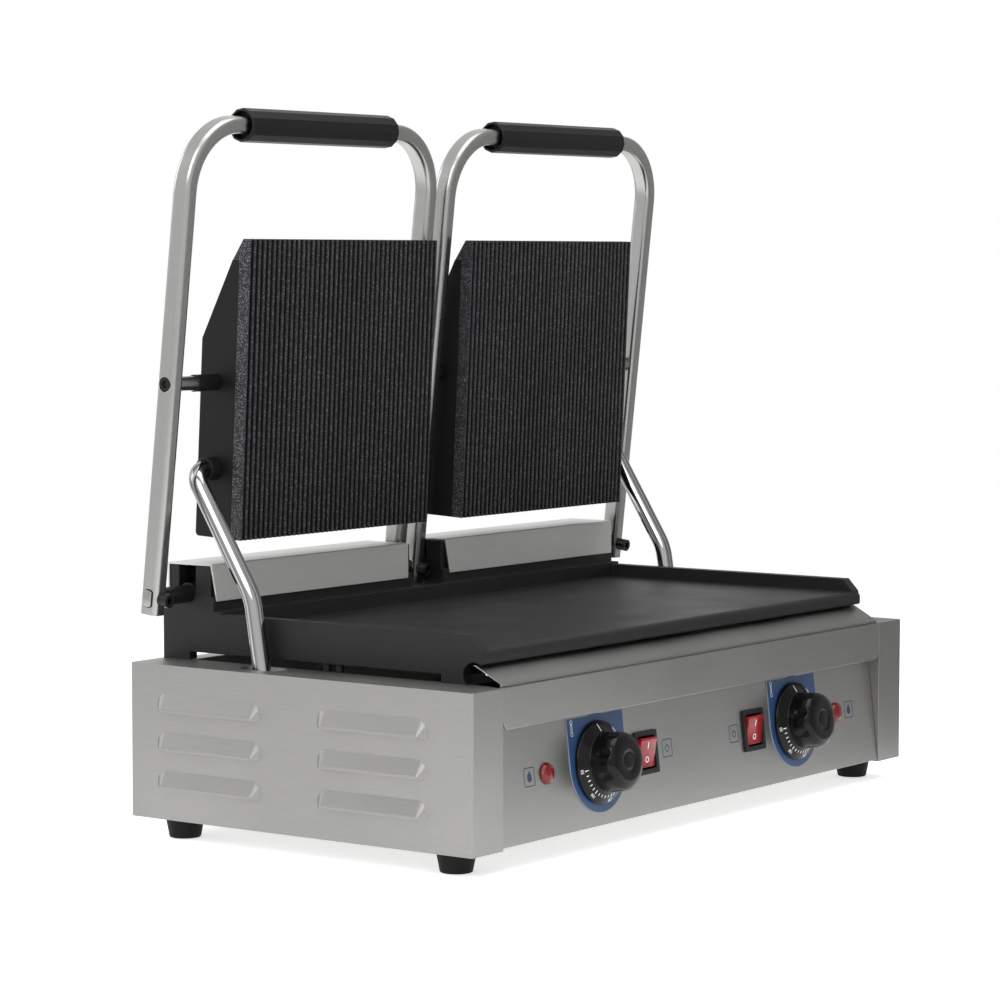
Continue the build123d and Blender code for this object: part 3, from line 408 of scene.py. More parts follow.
def soft_edges_group():
    """Rounded normals at the edges, and a mask of where the edges are."""
    group, inward, outward = new_group(
        "Soft Edges",
        [("Radius", "NodeSocketFloat", 0.0008)],
        [("Normal", "NodeSocketVector"), ("Edge", "NodeSocketFloat")],
    )
    bevel = group.nodes.new("ShaderNodeBevel")
    bevel.samples = 6
    surface = group.nodes.new("ShaderNodeNewGeometry")
    turn = group.nodes.new("ShaderNodeVectorMath")
    turn.operation = "DOT_PRODUCT"
    mask = group.nodes.new("ShaderNodeMapRange")
    mask.inputs["From Min"].default_value = 0.98
    mask.inputs["From Max"].default_value = 0.8
    link = group.links.new
    link(inward.outputs["Radius"], bevel.inputs["Radius"])
    link(bevel.outputs["Normal"], turn.inputs[0])
    link(surface.outputs["Normal"], turn.inputs[1])
    link(turn.outputs["Value"], mask.inputs["Value"])
    link(bevel.outputs["Normal"], outward.inputs["Normal"])
    link(mask.outputs["Result"], outward.inputs["Edge"])


def cast_skin_group():
    """Fine grains of a coated casting, with scattered pale flecks."""
    group, inward, outward = new_group(
        "Cast Skin",
        [
            ("Grain Scale", "NodeSocketFloat", 1400.0),
            ("Fleck Scale", "NodeSocketFloat", 700.0),
            ("Fleck Size", "NodeSocketFloat", 0.16),
        ],
        [("Height", "NodeSocketFloat"), ("Fleck", "NodeSocketFloat"), ("Cloud", "NodeSocketFloat")],
    )
    place = group.nodes.new("ShaderNodeTexCoord").outputs["Object"]
    grain = noise(group, place, detail=4.0, roughness=0.65)
    cloud = noise(group, place, detail=3.0, scale=14.0)
    flecks = group.nodes.new("ShaderNodeTexVoronoi")
    flecks.feature = "F1"
    flecks.inputs["Randomness"].default_value = 1.0
    parts = group.nodes.new("ShaderNodeSeparateColor")
    link = group.links.new
    link(place, flecks.inputs["Vector"])
    link(inward.outputs["Grain Scale"], grain.inputs["Scale"])
    link(inward.outputs["Fleck Scale"], flecks.inputs["Scale"])
    link(flecks.outputs["Color"], parts.inputs["Color"])
    near = computed(group, "LESS_THAN", flecks.outputs["Distance"], inward.outputs["Fleck Size"])
    drawn = computed(group, "GREATER_THAN", parts.outputs[0], EMPTY_CELLS)
    link(grain.outputs["Fac"], outward.inputs["Height"])
    link(computed(group, "MULTIPLY", near, drawn), outward.inputs["Fleck"])
    link(cloud.outputs["Fac"], outward.inputs["Cloud"])


class Finish:
    """A material in progress, with short ways to add and join its nodes."""

    def __init__(self, name, tone, roughness, metallic=0.0):
        self.material = bpy.data.materials.new(name)
        self.material.use_nodes = True
        self.tree = self.material.node_tree
        self.shader = self.tree.nodes["Principled BSDF"]
        self.shader.inputs["Base Color"].default_value = (*tone, 1.0)
        self.shader.inputs["Roughness"].default_value = roughness
        self.shader.inputs["Metallic"].default_value = metallic
        self.material.diffuse_color = (*tone, 1.0)

    def group(self, name, **inputs):
        """Place a shared group with its own values."""
        node = self.tree.nodes.new("ShaderNodeGroup")
        node.node_tree = bpy.data.node_groups[name]
        for key, value in inputs.items():
            node.inputs[key.replace("_", " ")].default_value = value
        return node

    def join(self, source, target):
        """Link one socket to another."""
        self.tree.links.new(source, target)

    def ranged(self, source, low, high, start=0.0, end=1.0):
        """A value that runs from low to high as the source runs from start to end."""
        node = self.tree.nodes.new("ShaderNodeMapRange")
        self.join(source, node.inputs["Value"])
        node.inputs["From Min"].default_value = start
        node.inputs["From Max"].default_value = end
        node.inputs["To Min"].default_value = low
        node.inputs["To Max"].default_value = high
        return node.outputs["Result"]

    def mixed(self, share, first, second):
        """A colour between two others. Each may be a colour or a socket."""
        node = self.tree.nodes.new("ShaderNodeMix")
        node.data_type = "RGBA"
        self.join(share, node.inputs["Factor"])
        for value, socket in ((first, node.inputs[6]), (second, node.inputs[7])):
            if isinstance(value, bpy.types.NodeSocket):
                self.join(value, socket)
            else:
                socket.default_value = (*value, 1.0)
        return node.outputs[2]

    def bump(self, height, strength, distance, normal=None):
        """Feed a height to the shader as relief, over rounded edges where they are given."""
        node = self.tree.nodes.new("ShaderNodeBump")
        node.inputs["Strength"].default_value = strength
        node.inputs["Distance"].default_value = distance
        self.join(height, node.inputs["Height"])
        if normal is not None:
            self.join(normal, node.inputs["Normal"])
        self.join(node.outputs["Normal"], self.shader.inputs["Normal"])

    def set(self, socket, value):
        """Set one of the shader's own sockets."""
        self.shader.inputs[socket].default_value = value

    def coloured(self, colour):
        """Feed a colour to the shader."""
        self.join(colour, self.shader.inputs["Base Color"])

    def varied(self, source, first, second, spread=0.2):
        """A colour that drifts between two others as a mask strays from its middle."""
        return self.mixed(self.ranged(source, 0.0, 1.0, 0.5 - spread, 0.5 + spread), first, second)

    def uneven(self, source, low, high):
        """Let the roughness drift between two values."""
        self.join(self.ranged(source, low, high, 0.3, 0.7), self.shader.inputs["Roughness"])


def shade(tone, share):
    """A tone made darker or lighter."""
    return tuple(min(1.0, part * share) for part in tone)


def grain_along(axis, fine, coarse):
    """Scales of a grain that runs along one axis: fine across it and coarse along it."""
    return tuple(coarse if letter == axis else fine for letter in "XYZ")


def brushed_metal(name, tone, grain, roughness, edge_radius=0.0006, depth=0.1):
    """Brushed or drawn metal, with its grain along the smallest scale."""
    finish = Finish(name, tone, roughness, 1.0)
    lines = finish.group("Brushed Grain", Scale=grain)
    edges = finish.group("Soft Edges", Radius=edge_radius)
    body = finish.varied(lines.outputs["Line"], shade(tone, 0.94), shade(tone, 1.05))
    finish.coloured(finish.mixed(edges.outputs["Edge"], body, shade(tone, 1.25)))
    finish.uneven(lines.outputs["Cloud"], roughness - 0.05, roughness + 0.06)
    finish.bump(lines.outputs["Line"], depth, 0.00003, edges.outputs["Normal"])


def polished_tube(name, tone):
    """Polished tube: bright metal with a painted reflection, its base colour going dark and bright in
    bands as the surface turns from the view, in place of a dim room mirrored in it.
    """
    finish = Finish(name, tone, 0.07, 1.0)
    lines = finish.group("Brushed Grain", Scale=grain_along("Z", 900.0, 20.0))
    # Painted reflection: the facing angle picks dark and bright bands of base colour
    turn = finish.tree.nodes.new("ShaderNodeLayerWeight")
    turn.inputs["Blend"].default_value = 0.5
    painted_reflection_bands = finish.tree.nodes.new("ShaderNodeValToRGB")
    stops = painted_reflection_bands.color_ramp.elements
    for stop, (position, share) in zip(stops, (TUBE_PAINTED_REFLECTION_BANDS[0], TUBE_PAINTED_REFLECTION_BANDS[-1])):
        stop.position = position
        stop.color = (*shade(tone, share), 1)
    for position, share in TUBE_PAINTED_REFLECTION_BANDS[1:-1]:
        stops.new(position).color = (*shade(tone, share), 1)
    finish.join(turn.outputs["Facing"], painted_reflection_bands.inputs["Fac"])
    soiled = finish.ranged(lines.outputs["Cloud"], 0.0, 0.35, 0.35, 0.7)
    finish.coloured(finish.mixed(soiled, painted_reflection_bands.outputs["Color"], shade(tone, 0.6)))
    finish.uneven(lines.outputs["Cloud"], 0.05, 0.11)


def rib_crests(finish):
    """A mask of the upper plates' crests, from the ribs' pitch and the plates' places; the grooves
    outside it get painted shade.
    """
    low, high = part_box("right_upper_plate")
    pitch = (high.x - low.x) / RIB_COUNT
    tree = finish.tree
    parts = tree.nodes.new("ShaderNodeSeparateXYZ")
    finish.join(tree.nodes.new("ShaderNodeTexCoord").outputs["Object"], parts.inputs[0])
    across = computed(tree, "ABSOLUTE", parts.outputs["X"])
    across = computed(tree, "SUBTRACT", across, (low.x + high.x) / 2)
    wave = computed(tree, "COSINE", computed(tree, "MULTIPLY", across, 2 * math.pi / pitch))
    return finish.ranged(wave, 0.0, 1.0, CREST_START, CREST_FULL)


def coated_casting(
    name, tone, roughness, grain, depth,
    fleck_size=0.0, fleck_scale=700.0, fleck_tone=(0.05, 0.05, 0.05), gloss=0.25, painted_groove_shade=False,
):
    """Cast metal under a dark coating, worn paler along its edges, and on ribbed plates with painted
    shade darkening the grooves between its ribs.
    """
    finish = Finish(name, tone, roughness)
    finish.set("Specular IOR Level", gloss)
    skin = finish.group("Cast Skin", Grain_Scale=grain, Fleck_Scale=fleck_scale, Fleck_Size=fleck_size)
    edges = finish.group("Soft Edges", Radius=0.0009)
    body = finish.varied(skin.outputs["Cloud"], shade(tone, 0.85), shade(tone, 1.15))
    body = finish.mixed(skin.outputs["Fleck"], body, fleck_tone)
    # Painted shade: the grooves between the ribs go nearly black, as though in the shade that falls
    # into them
    if painted_groove_shade:
        body = finish.mixed(rib_crests(finish), shade(tone, 0.08), body)
    wear = finish.ranged(edges.outputs["Edge"], 0.0, 0.35)
    finish.coloured(finish.mixed(wear, body, shade(tone, 3.0)))
    finish.uneven(skin.outputs["Cloud"], roughness - 0.05, roughness + 0.05)
    finish.bump(skin.outputs["Height"], depth, 0.00012, edges.outputs["Normal"])


def moulded(name, tone, roughness, grain=2600.0, depth=0.04, coat=0.0, gloss=0.25):
    """Moulded plastic or rubber with a faint skin."""
    finish = Finish(name, tone, roughness)
    finish.set("Specular IOR Level", gloss)
    skin = finish.group("Cast Skin", Grain_Scale=grain, Fleck_Size=0.0)
    edges = finish.group("Soft Edges", Radius=0.0005)
    body = finish.varied(skin.outputs["Cloud"], shade(tone, 0.9), shade(tone, 1.15))
    wear = finish.ranged(edges.outputs["Edge"], 0.0, 0.3)
    finish.coloured(finish.mixed(wear, body, shade(tone, 2.5)))
    finish.uneven(skin.outputs["Cloud"], roughness - 0.04, roughness + 0.04)
    finish.bump(skin.outputs["Height"], depth, 0.00005, edges.outputs["Normal"])
    finish.set("Coat Weight", coat)
    finish.set("Coat Roughness", 0.08)


def clear_red(name, tone, glow, roughness):
    """Clear red plastic: a deep body colour, some light through it and a hard gloss."""
    finish = Finish(name, tone, roughness)
    skin = finish.group("Cast Skin", Grain_Scale=500.0, Fleck_Size=0.0)
    finish.coloured(finish.varied(skin.outputs["Height"], shade(tone, 0.55), shade(tone, 1.3), 0.15))
    finish.set("Transmission Weight", glow)
    finish.set("IOR", 1.49)
    finish.set("Specular IOR Level", 0.35)
    finish.set("Coat Weight", 0.15)
    finish.set("Coat Roughness", 0.05)
    finish.bump(skin.outputs["Height"], 0.05, 0.00004)


def printed(name, tone):
    """Printed ink with a faint screen grain."""
    finish = Finish(name, tone, 0.42)
    skin = finish.group("Cast Skin", Grain_Scale=5200.0, Fleck_Size=0.0)
    finish.coloured(finish.varied(skin.outputs["Height"], shade(tone, 0.88), shade(tone, 1.08), 0.15))
    finish.bump(skin.outputs["Height"], 0.05, 0.00002)


class GRILL_OT_mix_finishes(bpy.types.Operator):
    """Build the shared shader groups and every finish"""

    bl_idname = "grill.mix_finishes"
    bl_label = "Mix Finishes"

    def execute(self, context):
        brushed_grain_group()
        soft_edges_group()
        cast_skin_group()
        tones = context.scene.grill_finish
        steel = tuple(tones.steel_tone)
        along_x = grain_along("X", 2200.0, 40.0)
        # Painted light and shade: one brushed steel is split into copies. The side panels and the drip
        # strip are darker than the front, and the covers are far lighter, to match how bright each face
        # looks under the light
        brushed_metal("Sheet Steel Side Painted Shade", shade(steel, 0.82), grain_along("Y", 2200.0, 40.0), 0.42)
        brushed_metal("Sheet Steel Front", shade(steel, 0.98), along_x, 0.36)
        brushed_metal("Strip Steel Painted Shade", shade(steel, 0.85), along_x, 0.34)
        brushed_metal(
            "Cover Steel Painted Light", shade(steel, 1.85), grain_along("X", 2600.0, 30.0), 0.5, edge_radius=0.0005
        )
        brushed_metal("Arm Steel", shade(steel, 1.08), grain_along("Z", 2200.0, 30.0), 0.26, depth=0.08)
        brushed_metal("Turned Steel", shade(steel, 0.9), grain_along("X", 3500.0, 60.0), 0.3)
        brushed_metal("Spring Steel", shade(steel, 0.7), (2000.0, 2000.0, 2000.0), 0.35)
        brushed_metal("Heater Sheath", (0.2, 0.18, 0.16), (1500.0, 1500.0, 1500.0), 0.5)
        brushed_metal("Aluminised Sheet", (0.62, 0.62, 0.62), (700.0, 700.0, 700.0), 0.5)
        polished_tube("Polished Tube", tuple(tones.chrome_tone))
        coated_casting(
            "Coated Casting", tuple(tones.cast_tone), 0.48, grain=950.0, depth=0.9,
            fleck_size=0.12, fleck_tone=(0.05, 0.05, 0.052),
        )
        coated_casting(
            "Ribbed Coating", shade(tones.rib_tone, 2.2), 0.45, grain=1800.0, depth=0.5,
            fleck_size=0.3, fleck_scale=1100.0, fleck_tone=(0.3, 0.29, 0.33), painted_groove_shade=True,
        )
        coated_casting("Hood Paint", tuple(tones.hood_tone), 0.42, grain=2200.0, depth=0.2, gloss=0.2)
        plastic = tuple(tones.plastic_tone)
        moulded("Gloss Plastic", shade(plastic, 0.7), 0.14, coat=0.08, gloss=0.16)
        moulded("Grip Plastic", shade(plastic, 1.2), 0.45, gloss=0.2)
        moulded("Matt Plastic", shade(plastic, 1.6), 0.5, grain=1800.0, depth=0.12)
        moulded("Foot Rubber", shade(plastic, 1.5), 0.6, grain=1200.0, depth=0.2, gloss=0.15)
        moulded("Black Oxide", shade(plastic, 1.6), 0.34, depth=0.1)
        moulded("Cream Ceramic", (0.7, 0.67, 0.58), 0.45, gloss=0.5)
        clear_red("Rocker Red", shade(tones.red_tone, 0.6), glow=0.04, roughness=0.22)
        clear_red("Lamp Red", shade(tones.red_tone, 0.36), glow=0.0, roughness=0.14)
        printed("Blue Print", tuple(tones.blue_tone))
        printed("White Print", (0.78, 0.78, 0.79))
        printed("Sign Ink", shade(tones.blue_tone, 0.5))
        printed("Pale Border", (0.24, 0.25, 0.26))
        return {"FINISHED"}


FRAME_FINISHES = {
    "Sheet Steel Side Painted Shade": both("side_panel"),
    "Sheet Steel Front": ["control_panel", "back_panel", "bottom_plate"],
    "Strip Steel Painted Shade": ["drip_tray", "grease_apron"],
    "Cover Steel Painted Light": both("rear_cover"),
    "Arm Steel": both("lid_arm"),
    "Turned Steel": [*both("spring_collars", "plate_rod"), "tray_runners"],
    "Spring Steel": both("hinge_spring"),
    "Heater Sheath": both("lower_element", "upper_element"),
    "Aluminised Sheet": ["heat_shield"],
    "Polished Tube": both("conduit"),
    "Coated Casting": ["lower_plate"],
    "Ribbed Coating": both("upper_plate"),
    "Hood Paint": both("upper_housing"),
    "Gloss Plastic": both("knob"),
    "Grip Plastic": both("grip"),
    "Matt Plastic": [*both("thermostat", "conduit_bush"), "cable_gland", "switch_frames"],
    "Foot Rubber": ["feet"],
    "Black Oxide": [
        *both("lock_screws", "rod_sleeves", "rod_plug", "hinge_axle"), "plate_screws", "axle_bushes",
    ],
    "Cream Ceramic": ["terminal_block"],
    "Rocker Red": both("rocker"),
    "Lamp Red": ["pilot_lamps"],
    "Pale Border": ["dial_plates"],
}


class GRILL_OT_dress_frame(bpy.types.Operator):
    """Give every frame node its finish"""

    bl_idname = "grill.dress_frame"
    bl_label = "Dress Frame"

    def execute(self, context):
        for finish, names in FRAME_FINISHES.items():
            for name in names:
                mesh = nodes[name].data
                mesh.materials.clear()
                mesh.materials.append(bpy.data.materials[finish])
        return {"FINISHED"}


# The dials: how far each stands from the middle, how far the back of its skirt stands off the
# panel, and the slope that carries the marks, as radii and heights above the skirt's back
DIAL_X = abs(joint_named["left_knob_turn"]["pos_m"][0])
DIAL_BACK = 0.0016
SLOPE_FOOT = (0.0282, 0.0022)
SLOPE_HEAD = (0.021, 0.006)
SLOPE_LEAN = math.atan2(SLOPE_HEAD[1] - SLOPE_FOOT[1], SLOPE_FOOT[0] - SLOPE_HEAD[0])

# The finger hollows: a stretched ball sunk into the knob's side
HOLLOW_RADIUS = 0.007
HOLLOW_STRETCH = (0.85, 1.05, 2.1)
HOLLOW_REACH = 0.0252
HOLLOW_HEIGHT = 0.0205


def on_slope(angle, radius):
    """A place on the skirt's slope: own y points away from the axis, own z off the slope."""
    share = (SLOPE_FOOT[0] - radius) / (SLOPE_FOOT[0] - SLOPE_HEAD[0])
    height = DIAL_BACK + SLOPE_FOOT[1] + share * (SLOPE_HEAD[1] - SLOPE_FOOT[1])
    about = Matrix.Rotation(angle - math.radians(90), 4, "Z")
    return about @ Matrix.Translation((0, radius, height)) @ Matrix.Rotation(-SLOPE_LEAN, 4, "X")


class GRILL_OT_turn_knobs(bpy.types.Operator):
    """Turn the two dials: a skirt, a fluted knob with a dished cap, and the spindle behind"""

    bl_idname = "grill.turn_knobs"
    bl_label = "Turn Knobs"

    def execute(self, context):
        sizes = context.scene.grill_sizes
        wide = sizes.knob_radius
        skirt = sizes.skirt_radius
        top = sizes.knob_height
        spindle = [(0.003, -0.0091), (0.003, 0.0)]
        brim = [(skirt, 0.0), (skirt, 0.0012), (skirt - 0.0004, 0.0018), SLOPE_FOOT, SLOPE_HEAD]
        side = [(wide - 0.0001, 0.0066), (wide, 0.009), (wide - 0.0004, top - 0.006)]
        shoulder = [
            (wide - 0.0009, top - 0.0038), (wide - 0.0023, top - 0.0018),
            (wide - 0.005, top - 0.0004), (wide - 0.0072, top),
        ]
        cap = [
            (0.0092, top + 0.0001), (0.0078, top - 0.0001), (0.0072, top - 0.0008),
            (0.0062, top - 0.0009), (0.0058, top - 0.0005), (0.001, top - 0.0004),
        ]
        profile = spindle + brim + side + shoulder + cap
        knob = lathed("left_dial_knob", [(r, z + DIAL_BACK) for r, z in profile], 128)
        hollows = []
        for index in range(sizes.flute_count):
            angle = 2 * math.pi * (index + 0.5) / sizes.flute_count
            hollow = started(
                bpy.ops.mesh.primitive_uv_sphere_add, "hollow",
                segments=32, ring_count=24, radius=HOLLOW_RADIUS,
            )
            hollow.scale = HOLLOW_STRETCH
            across, up = math.cos(angle) * HOLLOW_REACH, math.sin(angle) * HOLLOW_REACH
            hollow.location = (across, up, DIAL_BACK + HOLLOW_HEIGHT)
            hollow.rotation_euler = (0, 0, angle)
            bpy.ops.object.transform_apply(location=True, rotation=True, scale=True)
            hollows.append(hollow)
        cut(knob, joined(hollows, "hollows"))
        bevelled(knob, width=0.0004, segments=2)
        smoothed(knob, 40)
        other = doubled(knob, "right_dial_knob")
        for piece, hand, sign in ((knob, "left", -1), (other, "right", 1)):
            seated(piece, panel_place(sign * DIAL_X))
            finished(piece, "Gloss Plastic", hand + "_dial", (hand + "_knob",))
        return {"FINISHED"}


# The marks on the skirts, with their reaches from the dial's axis
FIRST_TICK = math.radians(188)
TICK_REACH = 0.0236
TICK_WIDTH = 0.0006
TICK_LENGTH = 0.002
LONG_TICK_LENGTH = 0.0028
TICKS_PER_NUMBER = 5
FIRST_NUMBER = 50
COUNT_PER_TICK = 10
NUMBER_REACH = 0.02655
NUMBER_SIZE = 0.0032
POINTER_ANGLE = math.radians(97)
POINTER_REACH = 0.0246
POINTER_WIDTH = 0.0007
POINTER_LENGTH = 0.0058


class GRILL_OT_mark_dials(bpy.types.Operator):
    """Print graduations, numbers and a pointer on each dial's skirt"""

    bl_idname = "grill.mark_dials"
    bl_label = "Mark Dials"

    def execute(self, context):
        sizes = context.scene.grill_sizes
        thick = sizes.print_thickness
        marks = []
        for index in range(sizes.tick_count):
            angle = FIRST_TICK + sizes.tick_step * index
            numbered = index % TICKS_PER_NUMBER == 0
            length = LONG_TICK_LENGTH if numbered else TICK_LENGTH
            marks.append(block("tick", (TICK_WIDTH, length, 2 * thick), on_slope(angle, TICK_REACH)))
            if numbered:
                marks.append(self.number(FIRST_NUMBER + COUNT_PER_TICK * index, angle, thick))
        pointer = (POINTER_WIDTH, POINTER_LENGTH, 2 * thick)
        marks.append(block("pointer", pointer, on_slope(POINTER_ANGLE, POINTER_REACH)))
        left = joined(marks, "left_dial_marks")
        right = doubled(left, "right_dial_marks")
        for piece, side, sign in ((left, "left", -1), (right, "right", 1)):
            seated(piece, panel_place(sign * DIAL_X))
            finished(piece, "White Print", side + "_dial")
        return {"FINISHED"}

    def number(self, value, angle, thick):
        """A number on the slope, as a mesh."""
        cleared()
        bpy.ops.object.text_add(location=(0, 0, 0))
        text = bpy.context.object.data
        text.body = str(value)
        text.size = NUMBER_SIZE
        text.extrude = thick
        text.align_x = "CENTER"
        text.align_y = "CENTER"
        text.resolution_u = 3
        bpy.ops.object.convert(target="MESH")
        return seated(bpy.context.object, on_slope(angle, NUMBER_REACH))


# The prints on the panel: the dial sheets on their plates, with a small thermometer at the upper
# left of each, and the outlined signs beside the controls
SHEET_RADIUS = 0.0341
SHEET_RISE = 0.0331
SHEET_HOLE_RADIUS = 0.005
PLATE_THICKNESS = 0.0006
THERMOMETER_X = -0.029
THERMOMETER_UP = 0.0225
THERMOMETER_LINE = 0.00035
BULB_RADIUS = 0.0013
STEM_HALF_GAP = 0.0007
STEM_LENGTH = 0.0056
STEM_UP = 0.0038
STEM_CAP_UP = 0.0066
DROP_UP = 0.0082
FLAME_SIGN_X = (-0.213, 0.213)
POWER_SIGN_X = (-0.0435, 0.046)
SIGN_EXTRA_HEIGHT = 0.0004
SIGN_OUTER_CORNER = 0.0016
SIGN_INNER_CORNER = 0.0012
SIGN_BORDERS = 0.0013
FLAME_RADIUS = 0.0026
FLAME_DROP = 0.0009
POWER_RADIUS = 0.0023
POWER_LINE = 0.0007
POWER_DROP = 0.0002


class GRILL_OT_print_panel(bpy.types.Operator):
    """Print the blue dial sheets and the outlined signs on the control panel"""

    bl_idname = "grill.print_panel"
    bl_label = "Print Panel"

    def execute(self, context):
        sizes = context.scene.grill_sizes
        thick = sizes.print_thickness
        for side, sign in (("left", -1), ("right", 1)):
            self.sheet(side, sign, thick)
            self.thermometer(side, sign, thick)
        signs = []
        for x in FLAME_SIGN_X:
            signs += [self.outline(x, sizes.icon_side, thick), self.flame(x, thick)]
        for x in POWER_SIGN_X:
            signs += [self.outline(x, sizes.icon_side, thick), *self.power(x, thick)]
        finished(joined(signs, "panel_signs"), "Sign Ink", "base")
        return {"FINISHED"}

    def sheet(self, side, sign, thick):
        """A round sheet with a square top, holed for the spindle."""
        disc = started(
            bpy.ops.mesh.primitive_cylinder_add, side + "_dial_sheet",
            vertices=128, radius=SHEET_RADIUS, depth=thick,
        )
        top = Matrix.Translation((0, SHEET_RISE / 2, 0))
        cut(disc, block("upper", (2 * SHEET_RADIUS, SHEET_RISE, thick), top), "UNION")
        hole = started(
            bpy.ops.mesh.primitive_cylinder_add, "hole",
            vertices=48, radius=SHEET_HOLE_RADIUS, depth=0.01,
        )
        cut(disc, hole)
        place = panel_place(sign * DIAL_X, 0, PLATE_THICKNESS + thick / 2)
        finished(seated(disc, place), "Blue Print", "base")

    def thermometer(self, side, sign, thick):
        """A small thermometer on a dial's sheet."""
        line = THERMOMETER_LINE
        bulb = ring("bulb", BULB_RADIUS, line, 0.2)
        stem = [
            block("stem", (line, STEM_LENGTH, thick), Matrix.Translation((x, STEM_UP, 0)))
            for x in (-STEM_HALF_GAP, STEM_HALF_GAP)
        ]
        across = (2 * STEM_HALF_GAP + line, line, thick)
        cap = block("cap", across, Matrix.Translation((0, STEM_CAP_UP, 0)))
        drop = ring("drop", BULB_RADIUS, line, 0.2, Matrix.Translation((0, DROP_UP, 0)))
        whole = joined([bulb, *stem, cap, drop], side + "_dial_sign")
        x, out = sign * DIAL_X + THERMOMETER_X, PLATE_THICKNESS + 1.5 * thick
        finished(seated(whole, panel_place(x, THERMOMETER_UP, out)), "White Print", "base")

    def outline(self, x, side, thick):
        """The round-cornered frame of a sign."""
        high = side + SIGN_EXTRA_HEIGHT
        outer = block("sign_frame", (side, high, thick))
        inner = block("inner", (side - SIGN_BORDERS, high - SIGN_BORDERS, 3 * thick))
        for piece, radius in ((outer, SIGN_OUTER_CORNER), (inner, SIGN_INNER_CORNER)):
            pick(piece, "EDGE", lambda edge: self.upright(piece, edge))
            bpy.ops.mesh.bevel(offset=radius, segments=6, affect="EDGES")
            bpy.ops.object.mode_set(mode="OBJECT")
        return seated(cut(outer, inner), panel_place(x, 0, thick / 2))

    def upright(self, piece, edge):
        """Whether an edge stands square off the panel."""
        first, second = (piece.data.vertices[index].co for index in edge.vertices)
        return abs(first.x - second.x) < 1e-7 and abs(first.y - second.y) < 1e-7

    def flame(self, x, thick):
        """A drop drawn up to a leaning tip."""
        body = lathed("flame_body", [(FLAME_RADIUS, -thick / 2), (FLAME_RADIUS, thick / 2)], 40)
        for above, stretch, middle in (
            (0.0004, (0.92, 2.1, 1), (0, 0.0004, 0)), (0.0028, (0.6, 1.0, 1), (0.0005, 0, 0)),
        ):
            pick(body, "VERT", lambda vertex: vertex.co.y > above)
            bpy.ops.transform.resize(value=stretch, center_override=middle)
            bpy.ops.object.mode_set(mode="OBJECT")
        return seated(body, panel_place(x, -FLAME_DROP, thick / 2))

    def power(self, x, thick):
        """A ring open at its top, with a bar in the gap."""
        loop = ring("power_loop", POWER_RADIUS, POWER_LINE, 0.2)
        cut(loop, block("gap", (0.0017, 0.003, 0.001), Matrix.Translation((0, 0.0024, 0))))
        bar = block("power_bar", (POWER_LINE, 0.0028, thick), Matrix.Translation((0, 0.0018, 0)))
        return [seated(piece, panel_place(x, -POWER_DROP, thick / 2)) for piece in (loop, bar)]


# The rockers: how far each stands from the middle, the key before its face is cut, and the
# barrel that hollows the face, as places up and out of the key's own middle
SWITCH_X = abs(joint_named["left_rocker_tilt"]["pos_m"][0])
KEY_SIZE = (0.0202, 0.0209, 0.013)
KEY_OUT = 0.0005
BARREL_UP = -0.01287
BARREL_OUT = 0.0618
BARREL_RADIUS = 0.061
MARK_UP = 0.005
CREST_UP = 0.0104
CREST_OUT = 0.004


class GRILL_OT_fit_rockers(bpy.types.Operator):
    """Cut the two hollow-faced rocker keys and print their marks"""

    bl_idname = "grill.fit_rockers"
    bl_label = "Fit Rockers"

    def execute(self, context):
        thick = context.scene.grill_sizes.print_thickness
        key = block("rocker_key", KEY_SIZE, Matrix.Translation((0, 0, KEY_OUT)))
        barrel = started(
            bpy.ops.mesh.primitive_cylinder_add, "barrel",
            vertices=256, radius=BARREL_RADIUS, depth=0.04, rotation=(0, math.radians(90), 0),
        )
        cut(key, seated(barrel, Matrix.Translation((0, BARREL_UP, BARREL_OUT))))
        pick(key, "EDGE", lambda edge: self.crest(key, edge))
        bpy.ops.mesh.bevel(offset=0.0015, segments=4, affect="EDGES")
        bpy.ops.object.mode_set(mode="OBJECT")
        bevelled(key, width=0.0005, segments=3)
        smoothed(key, 40)
        marks = []
        for up in (MARK_UP, -MARK_UP):
            run = up - BARREL_UP
            out = BARREL_OUT - math.sqrt(BARREL_RADIUS ** 2 - run ** 2)
            turn = Matrix.Rotation(math.asin(run / BARREL_RADIUS), 4, "X")
            place = Matrix.Translation((0, up, out + thick / 2)) @ turn
            if up > 0:
                marks.append(block("on_mark", (0.0009, 0.0048, 2 * thick), place))
            else:
                marks.append(ring("off_mark", 0.0018, 0.0007, 0.25, place))
        prints = joined(marks, "rocker_marks")
        for side, sign in (("left", -1), ("right", 1)):
            place = panel_place(sign * SWITCH_X)
            piece = seated(doubled(key, side + "_rocker_key"), place)
            finished(piece, "Rocker Red", side + "_switch", (side + "_rocker",))
            piece = seated(doubled(prints, side + "_rocker_marks"), place)
            finished(piece, "White Print", side + "_switch")
        for source in (key, prints):
            chosen(source)
            bpy.ops.object.delete()
        return {"FINISHED"}

    def crest(self, key, edge):
        """Whether an edge is the upper end of the key's face."""
        first, second = (key.data.vertices[index].co for index in edge.vertices)
        return min(first.y, second.y) > CREST_UP and min(first.z, second.z) > CREST_OUT


# The pilot lamps: how far each stands from the middle, the body behind the panel, and the
# lens as shares of its radius and heights off the panel
LAMP_X = 0.193
LAMP_BODY = ((0.0055, -0.022), (0.0055, -0.0002))
LENS_STEPS = ((1.0, 0.0), (1.0, 0.0008), (0.95, 0.0014), (0.84, 0.0026), (0.56, 0.0037), (0.2, 0.0042))
FACETS = 12


